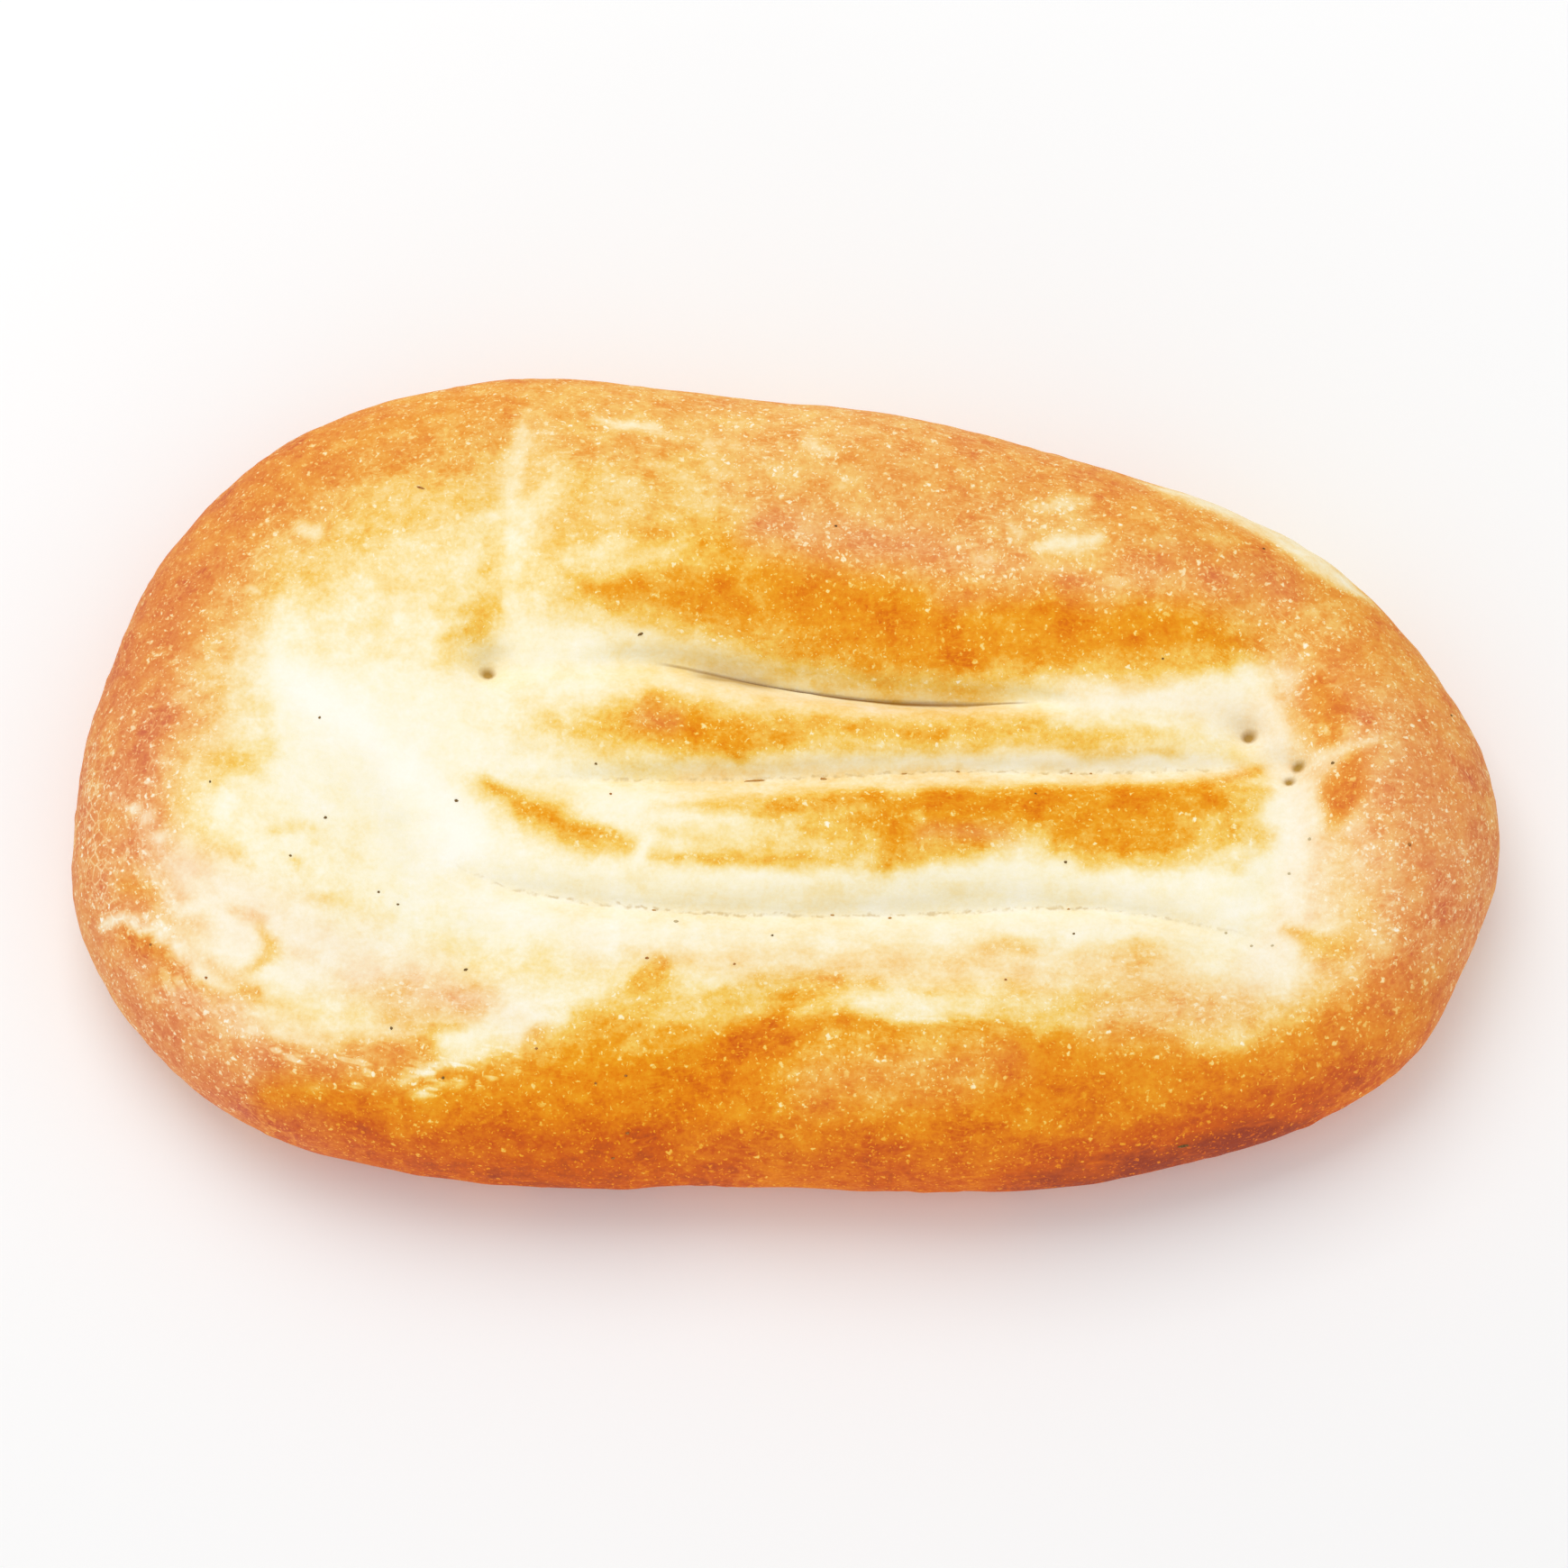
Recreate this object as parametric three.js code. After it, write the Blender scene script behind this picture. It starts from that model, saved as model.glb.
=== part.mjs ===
// A leavened flatbread: an oval, puffy loaf whose middle was pressed with the fingertips into three
// long grooves, which leave two soft ridges between them and a thick rim all round.
// It is one solid, in millimetres, +Z up, lying on its flat base with its length along X.

import * as THREE from 'three';
import { ParametricGeometry } from 'three/addons/geometries/ParametricGeometry.js';
import { mergeGeometries, mergeVertices } from 'three/addons/utils/BufferGeometryUtils.js';

const { clamp, lerp, smoothstep } = THREE.MathUtils;

// The loaf before it is pressed.
const OUTLINE = [ // plan at the widest level, at equal steps of angle from the right end, by the back
  [149.5, -3], [131.5, 31], [98, 57], [50, 72], [0, 83.5], [-63, 87.5], [-115, 68.5], [-139, 33],
  [-148.5, -4], [-146, -38], [-118.5, -72.5], [-61, -90], [0, -90], [62, -90.5], [118, -72], [146, -39],
];
const CROWN_HEIGHT = 47; // top of the dome
const WIDEST_HEIGHT = 15; // where the side is upright
const HALF_LENGTH = 149;
const HALF_WIDTH = 89;
const CROWN_INSET = 100; // from the outline in to where the dome is level
const SHOULDER_POWER = 5; // the higher, the flatter the top and the fuller the shoulder
const FOOT_INSET = 11; // how far the base lies inside the outline

// The bed that the hand pressed into the middle: where its slope starts on the rim, and its floor.
const BED = { left: [-130, -60], right: [128, 98], front: [-72, -42], back: [41, 14], depth: 10 };

// The grooves, each a smooth line of [x, y] points. A hollow as wide as a fingertip has a narrow
// crease along its floor, over the stretch of x where the risen dough has closed up.
const HOLLOW_HALF_WIDTH = 7.5;
const CREASE_HALF_WIDTH = 3.6;
const GROOVE_FADE = 14; // length over which a hollow runs out at its ends
const CREASE_FADE = 28; // and a crease
const GROOVES = [
  { line: [[-64, 17], [-26, 18.6], [0, 14.5], [22, 11.5], [56, 9.4], [98, 3.5]],
    hollow: 3.6, crease: 5, closed: [-30, 56] },
  { line: [[-58, -8], [-6, -8], [35, -6], [60, -6], [106, -6]],
    hollow: 2.4, crease: 3, closed: [-40, 92] },
  { line: [[-84, -11], [-73, -24], [-57, -32], [-25, -37], [10, -38], [62, -36.5], [102, -44]],
    hollow: 1.8, crease: 2.6, closed: [-60, 88] },
];

// Shallow folds that cross the rim, each a smooth line of [y, x] points.
const FOLD_FADE = 20;
const FOLDS = [
  { line: [[14, -62], [35, -59], [64, -57]], depth: 2, halfWidth: 7 }, // left end of the grooves
  { line: [[-38, 100], [-22, 107], [-8, 106], [6, 97]], depth: 2, halfWidth: 7 }, // right end
  { line: [[-88, -20], [-76, -18], [-66, -8], [-54, 4]], depth: 2.5, halfWidth: 9 }, // front rim
];

// Holes poked by the fingertips at the ends of the grooves.
const POKES = [
  { at: [-62, 17.5], radius: 4, depth: 3 },
  { at: [97, 3], radius: 4, depth: 3 },
  { at: [106, -6], radius: 4.5, depth: 2.5 },
];

// The uneven rise of the dough: waves of the given length, direction and height.
const WAVES = [
  { length: 96, heading: 0.5, height: 0.7 },
  { length: 61, heading: 2.1, height: 0.6 },
  { length: 43, heading: 1.2, height: 0.4 },
];

// How finely the crust is divided.
const CELLS_ALONG = 60;
const CELLS_ACROSS = 62;
const CELLS_AROUND = 2 * (CELLS_ALONG + CELLS_ACROSS);
const RIM_RINGS = 8;
const CAP_REACH = 0.82; // share of the outline that the top grid covers
const CAP_SQUARENESS = 0.7; // 1 makes the top grid's border an oval, less leaves it corners

const outlineCurve = new THREE.CatmullRomCurve3(
  OUTLINE.map(([x, y]) => new THREE.Vector3(x, y, 0)), true, 'catmullrom', 0.5,
);

/** The point of the outline at an angle, counted as its control points are. */
function outlineAt(angle) {
  const turns = angle / (2 * Math.PI);
  return outlineCurve.getPoint(turns - Math.floor(turns));
}

/** A smooth curve through [along, offset] points, as a function that gives the offset. */
function smoothLine(points) {
  const last = points.length - 1;
  const slopes = points.map((_, i) => {
    const [before, after] = [points[Math.max(i - 1, 0)], points[Math.min(i + 1, last)]];
    return (after[1] - before[1]) / (after[0] - before[0]);
  });
  return (along) => {
    const next = clamp(points.findIndex((p) => p[0] > along), 1, last);
    const i = along > points[last][0] ? last - 1 : next - 1;
    const span = points[i + 1][0] - points[i][0];
    const t = clamp((along - points[i][0]) / span, 0, 1);
    const bend = t * t * (3 - 2 * t);
    const lean = slopes[i] * t * (1 - t) ** 2 - slopes[i + 1] * t ** 2 * (1 - t);
    return lerp(points[i][1], points[i + 1][1], bend) + span * lean;
  };
}

/** 0 at one value and 1 at another, with a soft start and end, in either order. */
function ease(from, to, value) {
  return smoothstep((value - from) / (to - from), 0, 1);
}

/** 1 between two ends, running out to 0 over the fade at both of them. */
function between([start, end], fade, along) {
  return ease(start - fade / 2, start + fade / 2, along) * ease(end + fade / 2, end - fade / 2, along);
}

/** Where a line of [along, offset] points starts and ends. */
function endsOf(line) {
  return [line[0][0], line[line.length - 1][0]];
}

/** A soft hollow: 1 on its floor, fading as a bell curve. */
function hollow(offset, halfWidth) {
  return Math.exp(-((offset / halfWidth) ** 2));
}

const grooveLines = GROOVES.map(({ line }) => smoothLine(line));
const foldLines = FOLDS.map(({ line }) => smoothLine(line));

/** How far the crust lies below the risen dome at a plan point. */
function pressedDepth(x, y) {
  let depth = BED.depth * ease(...BED.left, x) * ease(...BED.right, x)
    * ease(...BED.front, y) * ease(...BED.back, y);
  GROOVES.forEach((groove, i) => {
    const offset = y - grooveLines[i](x);
    depth += groove.hollow * hollow(offset, HOLLOW_HALF_WIDTH)
      * between(endsOf(groove.line), GROOVE_FADE, x);
    depth += groove.crease * hollow(offset, CREASE_HALF_WIDTH)
      * between(groove.closed, CREASE_FADE, x);
  });
  FOLDS.forEach((fold, i) => {
    depth += fold.depth * hollow(x - foldLines[i](y), fold.halfWidth)
      * between(endsOf(fold.line), FOLD_FADE, y);
  });
  for (const { at, radius, depth: deep } of POKES) {
    depth += deep * hollow(Math.hypot(x - at[0], y - at[1]), radius);
  }
  for (const { length, heading, height } of WAVES) {
    const along = x * Math.cos(heading) + y * Math.sin(heading);
    depth += height * Math.sin((2 * Math.PI * along) / length);
  }
  return depth;
}

/** Presses a point of the dome down on top and inwards on the side, where upright is 1. */
function press(point, upright) {
  const outwards = new THREE.Vector3(point.x, point.y, 0).normalize();
  const away = outwards.multiplyScalar(upright).add(new THREE.Vector3(0, 0, 1 - upright)).normalize();
  return point.addScaledVector(away, -pressedDepth(point.x, point.y));
}

/** How far the outline's tangent at an angle passes from the middle, taking it for an ellipse. */
function tangentDistance(angle) {
  const span = Math.hypot(HALF_WIDTH * Math.cos(angle), HALF_LENGTH * Math.sin(angle));
  return (HALF_LENGTH * HALF_WIDTH) / span;
}

/** Slope of the dome at a share of the outline's reach: 0 where level, 1 where upright. */
function uprightAt(reach, angle) {
  const inset = (1 - reach) * tangentDistance(angle);
  return Math.max(1 - inset / CROWN_INSET, 0) ** SHOULDER_POWER;
}

/** The share of the outline's reach at which the dome has a slope. */
function reachAt(upright, angle) {
  return 1 - ((1 - upright ** (1 / SHOULDER_POWER)) * CROWN_INSET) / tangentDistance(angle);
}

/** The crust above the widest level, at a share of the outline's reach and an angle. */
function domePoint(reach, angle) {
  const point = outlineAt(angle).multiplyScalar(reach);
  const upright = uprightAt(reach, angle);
  point.z = lerp(WIDEST_HEIGHT, CROWN_HEIGHT, Math.sqrt(1 - upright));
  return press(point, upright);
}

/** The crust below the widest level, where it tucks in by a quarter turn to the base. */
function tuckPoint(turn, angle) {
  const point = outlineAt(angle);
  point.addScaledVector(point.clone().normalize(), -FOOT_INSET * (1 - Math.cos(turn)));
  point.z = 0;
  press(point, 1);
  point.z = WIDEST_HEIGHT * (1 - Math.sin(turn));
  return point;
}

/** Reach and angle of a point of the top grid, whose square runs from -1 to 1 both ways. */
function capPolar(a, b) {
  const across = a * Math.sqrt(1 - (CAP_SQUARENESS * b * b) / 2);
  const up = b * Math.sqrt(1 - (CAP_SQUARENESS * a * a) / 2);
  return { reach: CAP_REACH * Math.hypot(across, up), angle: Math.atan2(up, across) };
}

/** Corner of the top grid's border, counted anticlockwise from its front left corner. */
function borderCorner(index) {
  const [a, b] = [CELLS_ALONG, CELLS_ACROSS];
  if (index <= a) return [(2 * index) / a - 1, -1];
  if (index <= a + b) return [1, (2 * (index - a)) / b - 1];
  if (index <= 2 * a + b) return [1 - (2 * (index - a - b)) / a, 1];
  return [-1, 1 - (2 * (index - 2 * a - b)) / b];
}

function cap(u, v, target) {
  const { reach, angle } = capPolar(2 * u - 1, 2 * v - 1);
  target.copy(domePoint(reach, angle));
}

/** The rim from the base (up is 0), round under the widest level, to the top grid (up is 1). */
function rim(around, up, target) {
  const { reach, angle } = capPolar(...borderCorner(around * CELLS_AROUND));
  const start = Math.asin(Math.sqrt(uprightAt(reach, angle)));
  const turn = lerp(Math.PI, start, up) - Math.PI / 2;
  if (turn > 0) target.copy(tuckPoint(turn, angle));
  else if (up < 1) target.copy(domePoint(reachAt(Math.cos(turn) ** 2, angle), angle));
  else target.copy(domePoint(reach, angle));
}

/** The flat base, a fan from its middle to the foot of the rim, facing down. */
function baseGeometry() {
  const fan = new THREE.CircleGeometry(1, CELLS_AROUND, 0, -2 * Math.PI);
  const positions = fan.getAttribute('position');
  const point = new THREE.Vector3();
  for (let i = 1; i <= CELLS_AROUND + 1; i++) {
    rim((CELLS_AROUND + 1 - i) / CELLS_AROUND, 0, point);
    positions.setXYZ(i, point.x, point.y, 0);
  }
  return fan;
}

/** The whole skin as one closed mesh, with the origin under the middle of its box. */
function loafGeometry() {
  const pieces = [
    new ParametricGeometry(cap, CELLS_ALONG, CELLS_ACROSS),
    new ParametricGeometry(rim, CELLS_AROUND, RIM_RINGS),
    baseGeometry(),
  ];
  for (const piece of pieces) {
    piece.deleteAttribute('normal');
    piece.deleteAttribute('uv');
  }
  const skin = mergeVertices(mergeGeometries(pieces), 1e-3);
  skin.computeBoundingBox();
  const middle = skin.boundingBox.getCenter(new THREE.Vector3());
  skin.translate(-middle.x, -middle.y, 0);
  skin.computeVertexNormals();
  return skin;
}

const crust = new THREE.MeshStandardMaterial({ color: 0xe2a04f, roughness: 0.7, metalness: 0 });

const loaf = new THREE.Mesh(loafGeometry(), crust);
loaf.name = 'flatbread';

const part = new THREE.Group();
part.add(loaf);

export default part;
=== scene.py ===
"""A leavened flatbread, pressed with the fingertips and baked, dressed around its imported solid."""

import math

import bpy
import numpy as np
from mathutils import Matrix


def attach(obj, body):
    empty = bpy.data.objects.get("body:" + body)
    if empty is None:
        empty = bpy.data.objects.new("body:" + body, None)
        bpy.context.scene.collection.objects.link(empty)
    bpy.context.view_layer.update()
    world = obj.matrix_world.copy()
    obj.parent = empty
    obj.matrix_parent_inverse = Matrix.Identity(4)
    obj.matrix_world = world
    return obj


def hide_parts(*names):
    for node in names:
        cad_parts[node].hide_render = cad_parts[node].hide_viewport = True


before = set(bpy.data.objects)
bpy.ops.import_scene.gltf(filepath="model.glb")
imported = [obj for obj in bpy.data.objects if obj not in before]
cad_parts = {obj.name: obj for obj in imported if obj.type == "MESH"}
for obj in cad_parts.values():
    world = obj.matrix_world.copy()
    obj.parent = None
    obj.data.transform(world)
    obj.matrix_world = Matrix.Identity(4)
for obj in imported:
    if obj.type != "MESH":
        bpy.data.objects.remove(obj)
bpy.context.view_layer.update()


# The loaf: one piece of yeast dough, stretched by hand to an oval and left to rise on a board.
# Its skin is a dome over the outline that turns down over a round shoulder and tucks in to a flat
# base. All its sizes are in millimetres, and become metres with the mesh.

MILLIMETRE = 0.001

OUTLINE = np.array([  # plan at the widest level, at equal steps of angle from the right end, by the back
    (149.5, -3), (131.5, 31), (98, 57), (50, 72), (0, 83.5), (-63, 87.5), (-115, 68.5), (-139, 33),
    (-148.5, -4), (-146, -38), (-118.5, -72.5), (-61, -90), (0, -90), (62, -90.5), (118, -72), (146, -39),
])
CROWN_HEIGHT = 47.0
WIDEST_HEIGHT = 15.0
HALF_LENGTH = 149.0
HALF_WIDTH = 89.0
CROWN_INSET = 100.0  # from the outline in to where the dome is level
SHOULDER_POWER = 5.0
FOOT_INSET = 11.0


def ease(start, end, value):
    """0 at start and 1 at end, in either order, along the curve 3t^2 - 2t^3 between them."""
    t = np.clip((value - start) / (end - start), 0.0, 1.0)
    return t * t * (3.0 - 2.0 * t)


def cubic(t, start, end, slope_start, slope_end):
    """The cubic from start to end as t goes from 0 to 1, with the given slopes at its two ends."""
    return ((2 * t**3 - 3 * t**2 + 1) * start + (t**3 - 2 * t**2 + t) * slope_start
            + (3 * t**2 - 2 * t**3) * end + (t**3 - t**2) * slope_end)


def round_the_loaf(angle, values):
    """A closed smooth curve through values that stand at equal steps of angle: cubics whose slope at
    each value is half the difference of its two neighbours."""
    place = np.asarray(angle) / (2 * np.pi) * len(values)
    index = np.floor(place).astype(int)
    before, start, end, after = (values[(index + step) % len(values)] for step in (-1, 0, 1, 2))
    t = (place - index).reshape(place.shape + (1,) * (values.ndim - 1))
    return cubic(t, start, end, (end - before) / 2, (after - start) / 2)


def tangent_distance(angle):
    """How far the outline's tangent passes from the middle, taking the outline for an ellipse."""
    span = np.hypot(HALF_WIDTH * np.cos(angle), HALF_LENGTH * np.sin(angle))
    return HALF_LENGTH * HALF_WIDTH / span


def upright_at(reach, angle):
    """Slope of the dome, from 0 where it is level to 1 where it is upright: what is left of the inset
    from the outline, raised to the shoulder's power."""
    inset = (1.0 - reach) * tangent_distance(angle)
    return np.maximum(1.0 - inset / CROWN_INSET, 0.0) ** SHOULDER_POWER


def reach_at(upright, angle):
    """The share of the outline's reach at which the dome has a slope."""
    return 1.0 - (1.0 - upright ** (1.0 / SHOULDER_POWER)) * CROWN_INSET / tangent_distance(angle)


# The pressing: fingertips push three long grooves and a bed into the risen dough before it is baked.
# The dough closes up again along the grooves, and most where the hand pressed deepest, at the back.

BED = {  # its depth, and on each side where it starts to sink and where it is level
    "depth": 10.0, "left": (-130, -60), "right": (128, 98), "front": (-72, -42), "back": (41, 14),
}
HOLLOW_HALF_WIDTH = 7.5
CREASE_HALF_WIDTH = 3.6
GROOVE_FADE = 14.0
CREASE_FADE = 28.0
GROOVES = {  # lines of (x, y) points, the depths of hollow and crease, and where the dough has closed up
    "upper": {"line": ((-64, 17), (-26, 18.6), (0, 14.5), (22, 11.5), (56, 9.4), (98, 3.5)),
              "hollow": 3.6, "crease": 5.0, "closed": (-30, 56)},
    "middle": {"line": ((-58, -8), (-6, -8), (35, -6), (60, -6), (106, -6)),
               "hollow": 2.4, "crease": 3.0, "closed": (-40, 92)},
    "lower": {"line": ((-84, -11), (-73, -24), (-57, -32), (-25, -37), (10, -38), (62, -36.5), (102, -44)),
              "hollow": 1.8, "crease": 2.6, "closed": (-60, 88)},
}
FOLD_FADE = 20.0
FOLDS = (  # lines of (y, x) points across the rim, with a depth and a half width
    (((14, -62), (35, -59), (64, -57)), 2.0, 7.0),
    (((-38, 100), (-22, 107), (-8, 106), (6, 97)), 2.0, 7.0),
    (((-88, -20), (-76, -18), (-66, -8), (-54, 4)), 2.5, 9.0),
)
POKES = (((-62, 17.5), 4.0, 3.0), ((97, 3), 4.0, 3.0), ((106, -6), 4.5, 2.5))  # place, radius, depth
WAVES = ((96.0, 0.5, 0.7), (61.0, 2.1, 0.6), (43.0, 1.2, 0.4))  # length, heading, height


def smooth_line(points, along):
    """Offset of a smooth line through (along, offset) points: cubics whose slope at a point is that of
    the chord between its neighbours. Past either end the offset stays."""
    line = np.array(points, float)
    last = len(line) - 1
    before = line[np.maximum(np.arange(last + 1) - 1, 0)]
    after = line[np.minimum(np.arange(last + 1) + 1, last)]
    slopes = (after[:, 1] - before[:, 1]) / (after[:, 0] - before[:, 0])
    i = np.clip(np.searchsorted(line[:, 0], along, side="right") - 1, 0, last - 1)
    span = line[i + 1, 0] - line[i, 0]
    t = np.clip((along - line[i, 0]) / span, 0.0, 1.0)
    return cubic(t, line[i, 1], line[i + 1, 1], slopes[i] * span, slopes[i + 1] * span)


def between(ends, fade, along):
    """1 between two ends, running out to 0 over the fade at both of them."""
    start, end = ends
    return (ease(start - fade / 2, start + fade / 2, along)
            * ease(end + fade / 2, end - fade / 2, along))


def bell(offset, half_width):
    """A soft hollow: 1 on its floor, fading as a bell curve."""
    return np.exp(-((offset / half_width) ** 2))


def groove_offset(name, x, y):
    """How far a plan point lies behind the line of a groove."""
    return y - smooth_line(GROOVES[name]["line"], x)


def pressed_depth(x, y):
    """How far the crust lies below the risen dome: the bed, the grooves with the creases along them,
    the folds, the pokes of the fingertips and the waves of an uneven rise, added up."""
    depth = (BED["depth"] * ease(*BED["left"], x) * ease(*BED["right"], x)
             * ease(*BED["front"], y) * ease(*BED["back"], y))
    for name, groove in GROOVES.items():
        offset = groove_offset(name, x, y)
        ends = groove["line"][0][0], groove["line"][-1][0]
        hollow = groove["hollow"] * bell(offset, HOLLOW_HALF_WIDTH) * between(ends, GROOVE_FADE, x)
        crease = groove["crease"] * bell(offset, CREASE_HALF_WIDTH)
        depth = depth + hollow + crease * between(groove["closed"], CREASE_FADE, x)
    for line, deep, half_width in FOLDS:
        offset = x - smooth_line(line, y)
        ends = line[0][0], line[-1][0]
        depth = depth + deep * bell(offset, half_width) * between(ends, FOLD_FADE, y)
    for (poke_x, poke_y), radius, deep in POKES:
        depth = depth + deep * bell(np.hypot(x - poke_x, y - poke_y), radius)
    for length, heading, height in WAVES:
        along = x * math.cos(heading) + y * math.sin(heading)
        depth = depth + height * np.sin(2 * np.pi * along / length)
    return depth


def press(plan, height, upright):
    """Moves points of the risen skin by the pressed depth: straight down where the skin is level, and
    inwards where it is upright."""
    outwards = plan / np.maximum(np.linalg.norm(plan, axis=-1, keepdims=True), 1e-9)
    away = np.concatenate([outwards * upright[..., None], 1.0 - upright[..., None]], axis=-1)
    away = away / np.linalg.norm(away, axis=-1, keepdims=True)
    depth = pressed_depth(plan[..., 0], plan[..., 1])
    return np.concatenate([plan, height[..., None]], axis=-1) - away * depth[..., None]


def dome(reach, angle):
    """The crust above the widest level: a share of the outline's reach at an angle, raised by the root
    of what the slope leaves of 1."""
    plan = round_the_loaf(angle, OUTLINE) * reach[..., None]
    upright = upright_at(reach, angle)
    height = WIDEST_HEIGHT + (CROWN_HEIGHT - WIDEST_HEIGHT) * np.sqrt(np.maximum(1.0 - upright, 0.0))
    return press(plan, height, upright)


def tuck(turn, angle):
    """The crust below the widest level, which goes in and down by a quarter turn to the base."""
    plan = round_the_loaf(angle, OUTLINE)
    outwards = plan / np.linalg.norm(plan, axis=-1, keepdims=True)
    plan = plan - outwards * (FOOT_INSET * (1.0 - np.cos(turn)))[..., None]
    skin = press(plan, np.zeros_like(turn), np.ones_like(turn))
    skin[..., 2] = WIDEST_HEIGHT * (1.0 - np.sin(turn))
    return skin


# The skin's grid: a square grid over the top, closer across the grooves than along them, whose border
# goes on as rings over the shoulder, down the side and in under the base to one point.

CELLS_ALONG = 300
CELLS_ACROSS = 172
SIDE_RINGS = 40
BASE_RINGS = 7
TOP_REACH = 0.82  # share of the outline that the square grid covers
TOP_ROUNDNESS = 0.7  # 0 leaves its border a square, and 1 makes it a circle
GROOVE_CROWDING = 0.25  # how much closer the rows lie across the grooves

grid_x, grid_y = np.meshgrid(np.linspace(-1, 1, CELLS_ALONG + 1), np.linspace(-1, 1, CELLS_ACROSS + 1))
grid_y = grid_y - GROOVE_CROWDING * np.sin(np.pi * grid_y) / np.pi
round_x = grid_x * np.sqrt(1 - TOP_ROUNDNESS * grid_y * grid_y / 2)
round_y = grid_y * np.sqrt(1 - TOP_ROUNDNESS * grid_x * grid_x / 2)
top_reach = (TOP_REACH * np.hypot(round_x, round_y)).ravel()
top_angle = np.arctan2(round_y, round_x).ravel()

numbers = np.arange((CELLS_ALONG + 1) * (CELLS_ACROSS + 1)).reshape(CELLS_ACROSS + 1, CELLS_ALONG + 1)
border = np.concatenate([numbers[0, :-1], numbers[:-1, -1], numbers[-1, :0:-1], numbers[:0:-1, 0]])
around = len(border)

edge_angle = np.tile(top_angle[border], (SIDE_RINGS, 1))
edge_start = np.arcsin(np.sqrt(upright_at(top_reach[border], top_angle[border])))
share_down = np.linspace(0, 1, SIDE_RINGS + 1)[1:, None]
turn = edge_start + (np.pi - edge_start) * share_down - np.pi / 2
on_dome = turn <= 0
side_reach = np.where(on_dome, reach_at(np.cos(np.minimum(turn, 0)) ** 2, edge_angle), 1.0)
side_skin = np.where(on_dome[..., None], dome(side_reach, edge_angle),
                     tuck(np.maximum(turn, 0), edge_angle))
base_share = np.linspace(1, 0, BASE_RINGS + 2)[1:-1, None, None]
base_skin = side_skin[-1] * base_share

skin = np.concatenate([dome(top_reach, top_angle), side_skin.reshape(-1, 3), base_skin.reshape(-1, 3),
                       np.zeros((1, 3))])
skin_angle = np.concatenate([top_angle, edge_angle.ravel(), np.tile(top_angle[border], BASE_RINGS), [0.0]])
skin_reach = np.concatenate([top_reach, side_reach.ravel(), np.ones(around * BASE_RINGS + 1)])
skin_under = np.concatenate([np.zeros(len(top_reach)), np.maximum(turn, 0).ravel() / (np.pi / 2),
                             np.ones(around * BASE_RINGS + 1)])

ring_numbers = len(top_reach) + np.arange((SIDE_RINGS + BASE_RINGS) * around).reshape(-1, around)
rings = np.concatenate([border[None], ring_numbers])
top_quads = np.stack([numbers[:-1, :-1], numbers[:-1, 1:], numbers[1:, 1:], numbers[1:, :-1]], axis=-1)
next_along = np.roll(rings, -1, axis=1)
ring_quads = np.stack([rings[1:], next_along[1:], next_along[:-1], rings[:-1]], axis=-1)
base_fan = np.stack([np.full(around, len(skin) - 1), next_along[-1], rings[-1]], axis=-1)


# The closed seams: along the upper groove the risen dough behind it has rolled forward over the crease,
# so that a lip overhangs a dark slit. The two other grooves have shut to a fine line. Narrow pits stand
# where fingertips went deepest.

SLIT_ENDS = (-25, 50)
SLIT_END_FADE = 6.0
SLIT_GAPE = {"from": (-28, 5), "to": (64, 24)}  # where it opens to its full width, and closes again
SLIT_SHIFT = 0.3  # it opens this far in front of the groove's own line
SLIT_DEPTH = 0.7
SLIT_HALF_WIDTH = 0.8
LIP_SHADE = {"ends": (-18, -3), "offset": -1.2, "half_width": 1.3}  # on the dough before the slit
LIP_REACH = 1.0
LIP_OFFSET = 2.2
LIP_HALF_WIDTH = 2.4
SEAM_DEPTH = 0.5
SEAM_HALF_WIDTH = 0.9
SEAM_REACH = 5.0
PITS = ((-62.2, 15.4, 1.9), (97.3, 2.2, 1.8), (107.0, -6.0, 1.5), (105.0, -9.3, 1.4))  # x, y, radius
PIT_DEPTH = 2.0

on_top = skin_under == 0
top_x, top_y = skin[:, 0].copy(), skin[:, 1].copy()
slit_open = between(SLIT_ENDS, SLIT_END_FADE, top_x) * on_top
slit_gape = ease(*SLIT_GAPE["from"], top_x) * ease(*SLIT_GAPE["to"], top_x) * on_top
slit_offset = groove_offset("upper", top_x, top_y) + SLIT_SHIFT
slit_shade = (bell(slit_offset - LIP_SHADE["offset"], LIP_SHADE["half_width"])
              * between(LIP_SHADE["ends"], SLIT_END_FADE, top_x) * on_top)
middle_offset = groove_offset("middle", top_x, top_y)
lower_offset = groove_offset("lower", top_x, top_y)
in_middle = np.abs(middle_offset) < np.abs(lower_offset)
seam_offset = np.where(in_middle, middle_offset, lower_offset)
seam_shut = np.where(in_middle, between(GROOVES["middle"]["closed"], CREASE_FADE, top_x),
                     between(GROOVES["lower"]["closed"], CREASE_FADE, top_x))
seam_shut = seam_shut * ease(SEAM_REACH, SEAM_REACH / 2, np.abs(seam_offset)) * on_top
pit_mark = np.zeros(len(skin))
for pit_x, pit_y, pit_radius in PITS:
    pit_mark = np.maximum(pit_mark, bell(np.hypot(top_x - pit_x, top_y - pit_y), pit_radius) * on_top)
skin[:, 2] -= slit_gape * SLIT_DEPTH * bell(slit_offset, SLIT_HALF_WIDTH)
skin[:, 2] -= seam_shut * SEAM_DEPTH * bell(seam_offset, SEAM_HALF_WIDTH) + PIT_DEPTH * pit_mark
skin[:, 1] -= slit_gape * LIP_REACH * bell(slit_offset - LIP_OFFSET, LIP_HALF_WIDTH)


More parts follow.
